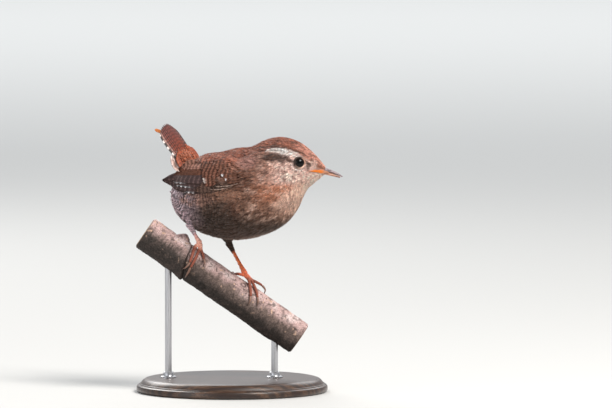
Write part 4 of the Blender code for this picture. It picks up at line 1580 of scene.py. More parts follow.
def face_out(mesh: bpy.types.Mesh) -> None:
    """Turns a closed mesh's faces outwards, if they point in."""
    mesh.calc_loop_triangles()
    corners_of = np.empty(len(mesh.loop_triangles) * 3, dtype=np.int32)
    mesh.loop_triangles.foreach_get("vertices", corners_of)
    spots = np.empty(len(mesh.vertices) * 3, dtype=np.float32)
    mesh.vertices.foreach_get("co", spots)
    a, b, c = spots.reshape(-1, 3)[corners_of.reshape(-1, 3)].transpose(1, 0, 2)
    if (a * np.cross(b, c)).sum() < 0:
        mesh.flip_normals()


def body_half_width(forward: np.ndarray, up: np.ndarray) -> np.ndarray:
    """How far the plumage reaches sideways at a place on the bird's side, or 0 outside its outline."""
    table = BODY_FORM.table()
    low, high = np.zeros(len(forward)), np.full(len(forward), len(table) - 1.0)
    for _ in range(28):
        middle = (low + high) / 2
        rib = read_spline(table, middle)
        share = (up - rib[:, 1]) / (rib[:, 3] - rib[:, 1])
        behind = rib[:, 0] + (rib[:, 2] - rib[:, 0]) * share < forward
        low, high = np.where(behind, middle, low), np.where(behind, high, middle)
    rib = read_spline(table, low)
    cosine = 1 - 2 * (up - rib[:, 1]) / (rib[:, 3] - rib[:, 1])
    inside = (forward >= table[0, 0]) & (np.abs(cosine) < 1)
    width = rib[:, 4] * np.sqrt(np.clip(1 - cosine**2, 0, 1)) * (1 - rib[:, 5] * cosine)
    return np.where(inside, width, 0.0)


@dataclass
class Wing:
    """One folded wing: primaries, secondaries and tertials under rows of coverts."""

    side: str
    material: bpy.types.Material
    spotted: bpy.types.Material

    LOWER = ((12.0, 103.4), (8.0, 99.2), (2.0, 96.4), (-6.0, 94.4), (-13.0, 93.8),
             (-20.0, 94.9), (-27.0, 96.8), (-32.0, 98.3), (-35.2, 99.0))
    UPPER = ((12.0, 104.6), (8.0, 107.0), (2.0, 108.8), (-6.0, 109.4), (-13.0, 109.3),
             (-20.0, 108.2), (-27.0, 105.2), (-32.0, 101.6), (-35.2, 99.5))
    OVER_BODY, TIP_OUT, SPREAD, LEAN, BEND = 0.4, 6.4, 0.12, 0.22, 1.0
    PRIMARIES, SECONDARIES, TERTIALS = 10, 6, 3
    SPOTTED = {0: Kind.SPOTTED_LOW, 3: Kind.SPOTTED_MIDDLE, 5: Kind.SPOTTED_HIGH}
    PERIOD, SPOT_PERIOD = 2.15, 2.7

    @classmethod
    def edges(cls, forward: np.ndarray) -> tuple[np.ndarray, np.ndarray]:
        """The heights of the lower and upper edges, at places along the bird."""
        lower = np.array(cls.LOWER[::-1])
        upper = np.array(cls.UPPER[::-1])
        return (np.interp(forward, lower[:, 0], lower[:, 1]), np.interp(forward, upper[:, 0], upper[:, 1]))

    @classmethod
    def hides(cls, own: np.ndarray) -> np.ndarray:
        """Which points of the body lie well under a wing."""
        low, high = cls.edges(own[:, 0])
        inside = (own[:, 2] > low + 2.2) & (own[:, 2] < high - 1.2)
        return inside & (own[:, 0] < -2.5) & (np.abs(own[:, 1]) > 6.0)

    @classmethod
    def drape(cls, own: np.ndarray) -> np.ndarray:
        """How far body feathers lift to lie over the wing's front and upper edge."""
        f, u = own[:, 0], own[:, 2]
        low, high = cls.edges(f)
        within = ramp(u, low - 2.5, low + 1.0) * ramp(u, high + 3.5, high)
        front = ramp(f, -3.0, 3.5) * ramp(f, 18.0, 11.0)
        along_top = ramp(f, -21.0, -12.0) * ramp(f, 14.0, 8.0) * ramp(u, high - 3.5, high - 1.0)
        along_top *= ramp(u, high + 4.5, high + 1.0)
        return 2.1 * np.maximum(within * front, along_top)

    def bed(self, forward: np.ndarray, up: np.ndarray, height: np.ndarray) -> np.ndarray:
        """World points over the folded wing's inner face."""
        beside = body_half_width(forward, up) + self.OVER_BODY
        behind = self.TIP_OUT + self.SPREAD * (forward - self.UPPER[-1][0])
        behind -= self.LEAN * np.maximum(0.0, up - self.UPPER[-1][1])
        out = (beside + behind + np.hypot(beside - behind, self.BEND)) / 2 + height
        return STANCE.place(np.stack([forward, SIDES[self.side] * out, up], axis=1))

    def build(self) -> None:
        """Presses the rows of feathers, from the lowest to the topmost."""
        press = QuillPress(self.material)
        rows = {
            "primaries": self.primaries(),
            "secondaries": self.secondaries() + self.tertials(),
            "greater_coverts": self.greater_coverts(),
            "median_coverts": self.median_coverts(),
        }
        for row, quills in rows.items():
            press.material = self.spotted if row == "primaries" else self.material
            period = self.SPOT_PERIOD if row == "primaries" else self.PERIOD
            obj = press.pressed(f"{row}_{self.side}", quills, period, self.bed)
            nodes = ("wing_" + self.side,) if row == "primaries" else ()
            declare(obj, "wing_feathers", *nodes)

    def primaries(self) -> list[Quill]:
        """The long outer feathers that make the wing's point, from the innermost out."""
        made = []
        for i in range(self.PRIMARIES):
            inward = self.PRIMARIES - 1 - i
            tip = (-35.2 + 0.30 * (i - 5) ** 2, 99.3 - (0.42 if i > 5 else 0.36) * (i - 5))
            kind = self.SPOTTED.get(inward, Kind.PRIMARY)
            made.append(Quill((5.0, 98.0 + 0.25 * inward), (-14.0, 94.9 + 0.78 * inward), tip,
                              1.05, 2.9, 0.10 + 0.05 * inward, kind))
        return made

    def secondaries(self) -> list[Quill]:
        """The feathers over the primaries, from the outermost in."""
        return [Quill((2.0 - 1.4 * i, 101.5 + 0.6 * i), (-14.5, 102.0 + 0.72 * i),
                      (-30.0 + 0.95 * i, 101.0 + 0.72 * i), 1.1, 2.8, 0.65 + 0.07 * i, Kind.SECONDARY)
                for i in range(self.SECONDARIES)]

    def tertials(self) -> list[Quill]:
        """The innermost flight feathers, over all the others."""
        return [Quill((-5.0, 106.0 + 0.6 * i), (-14.5, 106.1 + 0.85 * i),
                      (-26.5 + 1.2 * i, 104.9 + 0.9 * i), 1.9, 1.9, 1.05 + 0.10 * i,
                      Kind.TERTIAL_BARRED if i else Kind.TERTIAL) for i in range(self.TERTIALS)]

    def greater_coverts(self) -> list[Quill]:
        """The coverts over the bases of the flight feathers, with those of the primaries."""
        made = [Quill((5.0, 97.6 + 0.35 * i), (-4.0, 95.9 + 0.6 * i), (-14.5 + 0.9 * i, 95.6 + 0.75 * i),
                      0.9, 1.5, 0.75 + 0.04 * i, Kind.PRIMARY_COVERT) for i in range(5)]
        made += [Quill((6.0 + 2.5 * i, 98.2 + 1.3 * i), (0.5 + 2.5 * i, 97.0 + 1.4 * i),
                       (-5.5 + 2.0 * i, 96.5 + 1.5 * i), 0.6, 1.2, 1.15 + 0.08 * i, Kind.ALULA) for i in range(2)]
        for i in range(9):
            kind = Kind.GREATER_PALE if i in (1, 2) else Kind.GREATER
            made.append(Quill((4.0, 100.0 + 0.85 * i), (-3.0, 99.2 + 1.08 * i),
                              (-8.9 - 0.6 * i, 98.6 + 1.2 * i), 1.25, 1.6, 1.15 + 0.05 * i, kind))
        return made

    def median_coverts(self) -> list[Quill]:
        """The next row, of which two end in a white spot."""
        made = []
        for i in range(9):
            kind = Kind.MEDIAN_SPOT if i in (1, 3) else Kind.MEDIAN
            made.append(Quill((8.5, 100.6 + 0.8 * i), (5.6 - 0.5 * i, 100.5 + 0.95 * i),
                              (3.3 - 1.2 * i, 100.4 + 1.0 * i), 1.2, 1.4, 1.5 + 0.04 * i, kind))
        return made


@dataclass
class Tail:
    """The cocked tail: twelve feathers, and the coverts that round its base."""

    material: bpy.types.Material
    spotted: bpy.types.Material
    coat: bpy.types.Material
    pairs: int = 6
    period: float = 1.75
    outer_period: float = 3.7
    covert_span: tuple[float, float] = (0.0, 2.1)
    covert_spacing: float = 1.0
    covert_length: float = 4.2
    covert_sink: float = 1.9
    BENEATH = (-2.0, 2.0, 0.0)
    FLARES = {
        1: ((2.5, 5.0), (7.6, 7.3), (12.6, 6.6)),
        -1: ((2.5, 6.3), (6.6, 8.2), (13.0, 5.7)),
    }
    stray: Quill = Quill((20.5, -0.4), (24.4, -3.4), (27.4, -6.5), 1.0, 1.0, -0.9, Kind.TAIL_STRAY)

    @staticmethod
    def bed(along: np.ndarray, left: np.ndarray, height: np.ndarray) -> np.ndarray:
        """World points over the tail's arched middle sheet."""
        over = 0.75 * (1 - (left / 6.5) ** 2) - 0.5 + height
        return TAIL_FORM.to_world(np.stack([along, left, over], axis=1))

    def build(self) -> None:
        """Presses the tail feathers and grows the coverts."""
        press = QuillPress(self.material, thick=0.2)
        inner = [self.quill(i, sign) for i in range(self.pairs - 1, -1, -1) for sign in (1, -1)][2:]
        outer = [self.quill(self.pairs - 1, sign) for sign in (1, -1)]
        inner += [self.flare(i, 1, 1.0, Kind.TAIL_COVERT, 0.5) for i in range(3)]
        inner += [self.flare(i, -1, 0.80, Kind.TAIL_COVERT, 0.5) for i in range(3)]
        declare(press.pressed("tail_quills", inner, self.period, self.bed), "tail_feathers", "tail")
        outer.append(self.stray)
        outer += [self.flare(i, sign, 1.0, Kind.VENT_COVERT, -1.4) for i in range(4) for sign in (1, -1)]
        outer += [Quill((1.5, y), (6.0, 1.3 * y), (11.0 + 0.8 * i, 1.1 * y), 1.5, 1.5, -1.8 - 0.12 * i,
                        Kind.UNDER_COVERT) for i, y in enumerate(self.BENEATH)]
        press.material = self.spotted
        declare(press.pressed("tail_quills_outer", outer, self.outer_period, self.bed), "tail_feathers")
        self.coverts()

    def quill(self, pair: int, sign: int) -> Quill:
        """One tail feather of a pair, counted from the middle."""
        tip_x = 27.7 - 0.12 * pair**2
        tip_y = sign * (0.55 + 0.93 * pair)
        outer_web, inner_web = 1.15, 1.75
        plus, minus = (outer_web, inner_web) if sign > 0 else (inner_web, outer_web)
        outer = {self.pairs - 1: Kind.TAIL_OUTER, self.pairs - 2: Kind.TAIL_LINED}
        # The far side's outer pairs are painted dark as shade.
        if sign > 0:
            outer = {self.pairs - 1: Kind.TAIL_FAR_SHADED, self.pairs - 2: Kind.TAIL_FAR_SHADED}
        kind = outer.get(pair, Kind.TAIL)
        return Quill((1.0, sign * 0.62 * pair), (14.0, sign * (0.5 + 0.98 * pair)), (tip_x, tip_y),
                     plus, minus, 0.25 - 0.17 * pair + 0.03 * sign, kind, sign > 0)

    def flare(self, number: int, sign: int, reach: float, kind: Kind, layer: float) -> Quill:
        """One of the long coverts that widen the tail's base, from the outermost in."""
        out = sign * reach * (1.0 - 0.22 * number)
        root, middle, tip = self.FLARES[sign]
        return Quill((root[0], root[1] * out), (middle[0], middle[1] * out),
                     (tip[0] - 9.0 * (1 - reach) + 1.2 * number, tip[1] * out),
                     1.3, 1.3, layer + 0.18 * number, kind, sign > 0)

    def coverts(self) -> None:
        """Grows the coverts round the tail's base."""
        sower = Sower(TAIL_FORM, self.covert_span)
        roots = sower.scattered(lambda r: np.full(len(r.along), self.covert_spacing), 6, True)
        rng = np.random.default_rng(9)
        count = len(roots.along)
        length = self.covert_length * rng.uniform(0.85, 1.15, count)
        sink = self.covert_sink * (roots.along / self.covert_span[1]) ** 1.4
        growth = Growth(length, length * 0.5, rng.normal(0, 0.1, count), 1.0 + 0.6 * sink,
                        rng.uniform(-0.25, 0.15, count) + sink, 0.12, 0.1, Cut.VANE)
        planter = Planter(TAIL_FORM, TailMarking(), Template.spun(3, 5))
        shade = np.exp(rng.normal(0, 0.12, count))
        declare(planter.planted("coat_tail_coverts", roots, growth, shade, self.coat), "tail_feathers")


# Bare parts: eyes, bill, legs and claws

@dataclass(frozen=True)
class GlossFinish:
    """A smooth wet or horny surface with a painted colour."""

    name: str
    roughness: float
    coat: float = 0.0
    grain: float = 900.0
    grain_contrast: float = 0.15
    bump: float = 0.0
    specular: float = 0.5

    def made(self) -> bpy.types.Material:
        """The material, which reads its colour from the mesh."""
        b = Bench(self.name, self.roughness)
        grain = b.noise(b.place((1.0, 1.0, 1.0)), self.grain, 3.0)
        gain = b.spread(grain, 0.3, 0.7, 1.0 - self.grain_contrast, 1.0 + self.grain_contrast)
        scale = b.tree.nodes.new("ShaderNodeVectorMath")
        scale.operation = "SCALE"
        b.link(b.attribute("Coat", "Color"), scale.inputs[0])
        b.link(gain, scale.inputs["Scale"])
        b.link(scale.outputs[0], "Base Color")
        b.set("Specular IOR Level", self.specular)
        b.set("Coat Weight", self.coat)
        b.set("Coat Roughness", 0.03)
        if self.bump:
            b.bump(grain, self.bump, 0.05)
        return b.material


def mesh_points(obj: bpy.types.Object) -> np.ndarray:
    """The points of an object's mesh, in millimetres."""
    spots = np.empty(len(obj.data.vertices) * 3)
    obj.data.vertices.foreach_get("co", spots)
    return spots.reshape(-1, 3) / MM


def tint(obj: bpy.types.Object, tones: np.ndarray) -> None:
    """Writes a mesh's colours to its points."""
    coat = obj.data.attributes.new("Coat", "FLOAT_COLOR", "POINT")
    full = np.concatenate([np.clip(tones, 0.0, 1.0), np.ones((len(tones), 1))], axis=1)
    coat.data.foreach_set("color", full.astype(np.float32).ravel())


@dataclass
class Eye:
    """One eyeball with a dark iris, and the bare lid round it."""

    side: str
    ball: bpy.types.Material
    lid: bpy.types.Material
    pupil_angle: float = math.radians(26)
    iris_angle: float = math.radians(48)
    lid_thick: float = 0.30
    lid_wide: float = 1.35
    lid_out: float = 1.085
    PUPIL: Colour = (0.001, 0.001, 0.001)
    IRIS: Colour = (0.008, 0.0045, 0.003)
    LID: Colour = (0.045, 0.028, 0.023)
    LID_MIDDLE: Colour = (0.36, 0.20, 0.145)
    LID_PALE: Colour = (0.80, 0.52, 0.41)

    def build(self) -> None:
        """Makes the eyeball and its lid."""
        sign = SIDES[self.side]
        centre = np.array([EYE_SPOT[0], sign * eye_out(), EYE_SPOT[1]])
        axis = self.outward(sign)
        self.make_ball(centre, axis)
        self.make_lid(centre, axis)

    @staticmethod
    def outward(sign: float) -> np.ndarray:
        """The way that the feathers' surface faces beside the eye."""
        f, u, e = EYE_SPOT[0], EYE_SPOT[1], 0.5
        width = body_half_width(np.array([f + e, f - e, f, f]), np.array([u, u, u + e, u - e]))
        return unit(np.array([(width[1] - width[0]) / (2 * e), sign, (width[3] - width[2]) / (2 * e)]))

    def make_ball(self, centre: np.ndarray, axis: np.ndarray) -> None:
        """The glossy ball, coloured by the angle from its axis."""
        bm = bmesh.new()
        bmesh.ops.create_uvsphere(bm, u_segments=64, v_segments=40, radius=EYE_RADIUS)
        turn = Vector((0, 0, 1)).rotation_difference(Vector(axis)).to_matrix()
        bmesh.ops.rotate(bm, matrix=turn, verts=bm.verts)
        angle = np.array([math.acos(max(-1, min(1, v.co.normalized().dot(Vector(axis))))) for v in bm.verts])
        Forge.warp(bm, lambda p: STANCE.place(p + centre))
        obj = Forge.finish(bm, f"eyeball_{self.side}", self.ball)
        iris = ramp(angle, self.pupil_angle, self.pupil_angle + 0.06)
        iris = iris * ramp(angle, self.iris_angle + 0.08, self.iris_angle)
        wash = Wash(len(angle), self.PUPIL)
        wash.lay(iris, self.IRIS)
        tint(obj, wash.colour)
        declare(obj, "eye", f"eye_{self.side}")

    def make_lid(self, centre: np.ndarray, axis: np.ndarray) -> None:
        """A thin beaded ring of skin where the ball meets the feathers."""
        bm = bmesh.new()
        bmesh.ops.create_circle(bm, segments=12, radius=self.lid_thick)
        bmesh.ops.rotate(bm, matrix=Matrix.Rotation(math.pi / 2, 3, "X"), verts=bm.verts)
        bmesh.ops.translate(bm, vec=(EYE_OPENING, 0, 0), verts=bm.verts)
        bmesh.ops.spin(bm, geom=bm.verts[:] + bm.edges[:], axis=(0, 0, 1), cent=(0, 0, 0), steps=96,
                       angle=2 * math.pi, use_merge=True)
        bmesh.ops.remove_doubles(bm, verts=bm.verts, dist=1e-4)
        height = math.sqrt(EYE_RADIUS**2 - EYE_OPENING**2)

        def shape(points: np.ndarray) -> np.ndarray:
            around = np.arctan2(points[:, 1], points[:, 0])
            bead = 1.0 + 0.16 * np.sin(around * 34)
            ring = unit(points[:, :2]) * EYE_OPENING
            out = (points[:, :2] - ring) * (self.lid_wide * bead)[:, None] + ring * self.lid_out
            dip = 0.4 * (np.linalg.norm(out, axis=1) - EYE_OPENING)
            return np.concatenate([out, (points[:, 2] * bead * 0.9 + height - dip)[:, None]], axis=1)
        Forge.warp(bm, shape)
        turn = Vector((0, 0, 1)).rotation_difference(Vector(axis)).to_matrix()
        bmesh.ops.rotate(bm, matrix=turn, verts=bm.verts)
        Forge.warp(bm, lambda p: STANCE.place(p + centre))
        obj = Forge.finish(bm, f"eyelid_{self.side}", self.lid)
        own = STANCE.straighten(mesh_points(obj))
        ahead, above = own[:, 0] - EYE_SPOT[0], own[:, 2] - EYE_SPOT[1]
        wash = Wash(len(own), self.LID_MIDDLE)
        wash.lay(ramp(above, -0.4, -1.3), self.LID_PALE)
        wash.lay(ramp(above - 0.8 * ahead, 0.4, 1.8), self.LID)
        wash.lay(ramp(np.hypot(ahead, above), 2.45, 2.25) * ramp(above, -1.6, -0.4), self.LID)
        wash.lay(ramp(np.hypot(ahead, above), 2.42, 2.28) * 0.8, self.LID)
        tint(obj, wash.colour)
        declare(obj, "leg_skin")


@dataclass
class Bill:
    """The closed bill, in two halves, and the soft gape behind its corners."""

    horn: bpy.types.Material
    soft: bpy.types.Material
    steps: int = 70
    sides: int = 40
    nostril: tuple[float, float] = (45.0, 104.78)
    # The upper bill's grey horn, paled and tinted lilac by a painted highlight of the sky.
    UPPER_TOP_AND_HIGHLIGHT: Colour = (0.22, 0.165, 0.18)
    UPPER_EDGE: Colour = (0.33, 0.19, 0.13)
    LOWER_TIP: Colour = (0.26, 0.12, 0.085)
    LOWER_BASE: Colour = (0.44, 0.20, 0.12)
    GAPE: Colour = (0.60, 0.15, 0.015)
    # Painted shade inside the nostrils' slits.
    NOSTRIL_SHADOW: Colour = (0.012, 0.010, 0.010)

    UPPER = LoftSurface((
        Rib((43.5, 105.9), (43.3, 104.06), 1.85),
        Rib((45.2, 105.3), (45.1, 103.71), 1.45),
        Rib((47.2, 104.5), (47.1, 103.17), 1.0),
        Rib((49.2, 103.5), (49.1, 102.48), 0.62),
        Rib((50.6, 102.6), (50.5, 101.86), 0.38),
        Rib((51.3, 102.0), (51.2, 101.5), 0.27),
    ), STANCE.place)
    LOWER = LoftSurface((
        Rib((43.3, 104.0), (43.2, 102.7), 1.7),
        Rib((45.1, 103.65), (45.0, 102.35), 1.3),
        Rib((47.0, 103.12), (46.9, 101.95), 0.9),
        Rib((48.9, 102.47), (48.8, 101.5), 0.55),
        Rib((50.2, 101.9), (50.1, 101.2), 0.3),
    ), STANCE.place)

    def build(self) -> None:
        """Makes both halves and the gapes."""
        upper = self.half("bill_horn_upper", self.UPPER, -0.65)
        own = STANCE.straighten(mesh_points(upper))
        f, u = own[:, 0], own[:, 2]
        culmen = np.interp(f, (43, 47, 51), (105.9, 104.55, 102.1))
        edge = np.interp(f, (43, 47, 51), (104.1, 103.3, 101.6))
        # The upper bill's horn tone, with its painted highlight.
        wash = Wash(len(own), self.UPPER_TOP_AND_HIGHLIGHT)
        wash.lay(ramp((u - edge) / (culmen - edge), 0.42, 0.08) * 0.8, self.UPPER_EDGE)
        # Painted shade in the nostril's slit.
        wash.lay(self.nostril_mask(f, u, own[:, 1]) ** 0.5, self.NOSTRIL_SHADOW)
        tint(upper, wash.colour)
        declare(upper, "bill_horn", "bill_upper")
        lower = self.half("bill_horn_lower", self.LOWER, -0.65)
        own = STANCE.straighten(mesh_points(lower))
        wash = Wash(len(own), self.LOWER_BASE)
        wash.lay(ramp(own[:, 0], 45.5, 50.0), self.LOWER_TIP)
        tint(lower, wash.colour)
        declare(lower, "bill_pink", "bill_lower")
        for side, sign in SIDES.items():
            self.gape(side, sign)

    def nostril_mask(self, f: np.ndarray, u: np.ndarray, side: np.ndarray) -> np.ndarray:
        """How deep in a nostril's slit each point lies, from 0 to 1."""
        slope = u + (f - self.nostril[0]) * 0.30 - self.nostril[1]
        gap = np.hypot((f - self.nostril[0]) / 0.95, slope / 0.24)
        return ramp(gap, 1.0, 0.45) * (np.abs(side) > 0.5)

    def half(self, name: str, form: LoftSurface, start: float) -> bpy.types.Object:
        """One half of the bill, from under the feathers to its tip.

        Args:
            name: Its name.
            form: The loft that it follows.
            start: The place among the ribs where it begins, under the feathers.

        Returns:
            The piece, without colours.
        """
        last = len(form.ribs) - 1

        def bend(share: np.ndarray, angle: np.ndarray) -> np.ndarray:
            along = start + (last - start) * share
            own = form.own(along, angle, np.zeros(len(along)))
            tip = ramp(share, 1.0, 0.965)
            ridge = 0.10 * np.clip(np.cos(angle), 0, 1) ** 6 * (1 - share)
            dent = 0.28 * self.nostril_mask(own[:, 0], own[:, 2], own[:, 1]) if form is self.UPPER else 0.0
            own = form.own(along, angle, (dent - ridge) * np.ones(len(along)))
            middle = form.own(along, np.zeros(len(along)), np.full(len(along), 9.0))
            middle = (middle + form.own(along, np.full(len(along), math.pi), np.full(len(along), 9.0))) / 2
            return STANCE.place(middle + (own - middle) * (0.25 + 0.75 * tip)[:, None])
        return Forge.finish(Forge.tube(self.steps, self.sides, bend), name, self.horn)

    def gape(self, side: str, sign: float) -> None:
        """The soft yellow flange at one corner of the mouth."""
        points = np.array([(35.8, 104.7), (38.0, 104.75), (40.6, 104.45), (43.0, 104.1), (45.0, 103.75)])

        def bend(share: np.ndarray, angle: np.ndarray) -> np.ndarray:
            spot = read_spline(points, share * (len(points) - 1))
            size = np.clip(np.sin(math.pi * (0.02 + 0.96 * share**1.4)), 0, 1) ** 0.8
            fold = 1.0 - 0.35 * np.exp(-(np.sin(angle) / 0.35) ** 2) * (np.cos(angle) > 0)
            u = spot[:, 1] + np.sin(angle) * 0.78 * size
            width = body_half_width(np.minimum(spot[:, 0], 42.6), spot[:, 1])
            width = np.where(spot[:, 0] > 42.6, np.minimum(width, 1.95 - 0.24 * (spot[:, 0] - 43.0)), width)
            out = width - 0.02 + np.cos(angle) * 0.42 * size * fold
            return STANCE.place(np.stack([spot[:, 0], sign * out, u], axis=1))
        obj = Forge.finish(Forge.tube(40, 20, bend), f"gape_{side}", self.soft)
        own = STANCE.straighten(mesh_points(obj))
        wash = Wash(len(own), self.GAPE)
        wash.lay(ramp(own[:, 0], 41.0, 43.4), self.LOWER_BASE)
        wash.lay(ramp(own[:, 0], 37.4, 36.0) * 0.6, self.LOWER_TIP)
        wash.lay(ramp(value_noise(own, 0.8, 44), 0.5, 0.8) * 0.35, self.LOWER_TIP)
        tint(obj, wash.colour)
        declare(obj, "bill_pink")


@dataclass(frozen=True)
class BranchForm:
    """The cut length of branch, as the solids have it, with places along and round it."""

    centre: tuple[float, float, float] = (-4.7, 0.0, 49.8)
    slope: float = math.radians(34.7)
    radius: float = 8.0
    length: float = 88.0
    swells: tuple[tuple[float, float, float], ...] = ((-27.0, 3.0, 0.45), (30.0, 5.0, 0.35))

    def point(self, along: np.ndarray, angle: np.ndarray, height: np.ndarray) -> np.ndarray:
        """World points over the bark.

        Args:
            along: Places along the branch from its middle, down its slope.
            angle: Angles from its top towards the viewer, in radians.
            height: Heights over the plain round bar.

        Returns:
            Points in world millimetres.
        """
        ahead = np.array([math.cos(self.slope), 0.0, -math.sin(self.slope)])
        up = np.array([math.sin(self.slope), 0.0, math.cos(self.slope)])
        viewer = np.array([0.0, -1.0, 0.0])
        out = np.cos(angle)[:, None] * up + np.sin(angle)[:, None] * viewer
        return np.array(self.centre) + along[:, None] * ahead + out * (self.radius + height)[:, None]

    def spot(self, along: float, degrees: float, height: float) -> np.ndarray:
        """One world point over the bark, with its angle in degrees."""
        return self.point(np.array([along]), np.radians([degrees]), np.array([height]))[0]


BRANCH = BranchForm()


@dataclass
class Foot:
    """One bare leg: a scaled shank, four padded toes and their claws."""

    side: str
    skin: bpy.types.Material
    horn: bpy.types.Material
    voxel: float = 0.16
    shank_radii: tuple[float, ...] = (1.0, 0.84, 0.82, 1.0, 1.65)
    toe_radii: tuple[float, ...] = (1.3, 0.76, 0.68, 0.58)
    claw_radii: tuple[float, ...] = (0.60, 0.46, 0.30, 0.12)
    scute: float = 1.55
    toe_scute: float = 0.95
    ridge: float = 0.075
    claw_steps: int = 24
    TOP: Colour = (0.88, 0.19, 0.06)
    UNDER: Colour = (0.84, 0.27, 0.13)
    # The toes' own browner tone, painted darker as the shade round them.
    TOE_TONE_AND_SHADE: Colour = (0.175, 0.062, 0.046)
    # The ankle joint's tone; the right leg's is a painted pale pink highlight.
    JOINT_TONE_AND_HIGHLIGHT = {"left": (0.78, 0.175, 0.085), "right": (1.0, 0.54, 0.42)}
    # Dark seams between the scutes; the same tone is laid as painted shade too.
    SEAM_AND_SHADE: Colour = (0.26, 0.085, 0.055)
    # A painted lilac highlight of light from behind, on the right shank's top only.
    BACKLIGHT_LILAC: Colour = (0.82, 0.56, 0.60)
    BACKLIGHT_SPAN = {"left": (100.0, 101.0), "right": (70.0, 76.0)}
    # Heights of painted shade under the belly, on the left shank's top only.
    SHADOW_SPAN = {"left": (63.0, 68.5), "right": (100.0, 101.0)}
    SHADED_TOP: Colour = (0.085, 0.05, 0.038)
    SHADE = {"left": (67.2, 69.4), "right": (100.0, 101.0)}
    CLAW: Colour = (0.23, 0.125, 0.09)
    CLAW_TIP: Colour = (0.09, 0.05, 0.04)

    SHANK_TOPS = {"left": (-1.2, 7.9, 68.6), "right": (-19.6, -3.3, 78.2)}
    THIGH_ENDS = {"left": (-1.8, 8.1, 71.8), "right": (-19.4, -2.8, 81.2)}
    JOINTS = {"left": (6.1, -5.4, 2.65), "right": (-20.0, 16.0, 3.2)}
    TOES = {
        ("left", 1): ((4.8, -6, 1.7), (2.8, -20, 1.15), (1.4, -40, 1.05)),
        ("left", 2): ((8.8, 16, 1.9), (11.8, 43, 1.05), (13.7, 63, 1.05)),
        ("left", 3): ((10.2, 8, 1.9), (14.2, 33, 1.15), (16.6, 52, 1.05)),
        ("left", 4): ((9.6, -10, 2.3), (13.0, -15, 2.9), (15.5, -18, 3.2)),
        ("right", 1): ((-20.5, -2, 1.7), (-21.0, -36, 1.15), (-20.8, -60, 1.05)),
        ("right", 2): ((-18.0, 24, 1.6), (-15.9, 37, 1.15), (-14.4, 49, 1.05)),
        ("right", 3): ((-18.9, 24, 1.7), (-17.9, 60, 1.05), (-17.3, 95, 1.05)),
        ("right", 4): ((-20.9, 30, 1.4), (-19.9, 62, 1.05), (-18.9, 84, 1.05)),
    }
    CLAWS = {
        ("left", 1): ((0.5, -60, 1.5), (0.1, -80, 0.5)),
        ("left", 2): ((14.6, 78, 1.35), (14.7, 92, 0.5)),
        ("left", 3): ((17.9, 64, 1.35), (18.6, 77, 0.5)),
        ("left", 4): ((17.9, -22, 2.5), (18.6, -31, 0.6)),
        ("right", 1): ((-20.4, -84, 1.5), (-20.1, -106, 0.5)),
        ("right", 2): ((-13.2, 58, 1.35), (-12.6, 69, 0.5)),
        ("right", 3): ((-16.8, 119, 1.35), (-16.7, 138, 0.5)),
        ("right", 4): ((-19.1, 101, 1.35), (-20.1, 116, 0.5)),
    }

    def build(self) -> None:
        """Makes the leg as one skin, and its claws as one piece."""
        lines = [self.shank_line()] + [self.toe_line(digit) for digit in range(1, 5)]
        bm = bmesh.new()
        for number, (line, radii, _) in enumerate(lines):
            Skin.add(bm, self.bar(line, radii, 60, 16))
        obj = Forge.finish(bm, f"leg_skin_{self.side}", self.skin)
        remesh = obj.modifiers.new("join", "REMESH")
        remesh.mode = "VOXEL"
        remesh.voxel_size = self.voxel * MM
        remesh.use_smooth_shade = True
        soften = obj.modifiers.new("soften", "SMOOTH")
        soften.factor, soften.iterations = 0.5, 3
        Forge.applied(obj)
        self.scale(obj, lines)
        declare(obj, "leg_skin", f"leg_{self.side}")
        self.claws()

    def shank_line(self) -> tuple[np.ndarray, tuple[float, ...], float]:
        """The shank's points, radii and scute length."""
        line = np.stack([np.array(self.THIGH_ENDS[self.side]), np.array(self.SHANK_TOPS[self.side]),
                         BRANCH.spot(*self.JOINTS[self.side])])
        top = line[1]
        points = np.stack([line[0]] + [top + (line[2] - top) * s for s in (0, 0.25, 0.5, 0.75, 1.0)])
        return points, (0.95,) + self.shank_radii, self.scute

    def toe_line(self, digit: int) -> tuple[np.ndarray, tuple[float, ...], float]:
        """A toe's points, radii and scute length."""
        joint = BRANCH.spot(*self.JOINTS[self.side])
        points = np.stack([joint] + [BRANCH.spot(*p) for p in self.TOES[self.side, digit]])
        return points, self.toe_radii, self.toe_scute

    @staticmethod
    def bar(line: np.ndarray, radii: Sequence[float], steps: int, sides: int) -> bmesh.types.BMesh:
        """A round bar along a smooth line through points, with rounded ends."""
        radii_table = np.array(radii)[:, None]

        def bend(share: np.ndarray, angle: np.ndarray) -> np.ndarray:
            at = share * (len(line) - 1)
            spot = read_spline(line, at)
            ahead = unit(read_spline(line, at + 0.02) - read_spline(line, at - 0.02))
            side = unit(np.cross(ahead, np.array([0.31, 0.17, 0.93])))
            other = np.cross(ahead, side)
            radius = read_spline(radii_table, share * (len(radii) - 1))[:, 0]
            ends = np.sqrt(np.clip(1 - (np.abs(share - 0.5) * 2) ** 14, 0.02, 1))
            ring = np.cos(angle)[:, None] * side + np.sin(angle)[:, None] * other
            return spot + ring * (radius * ends)[:, None]
        return Forge.tube(steps, sides, bend)

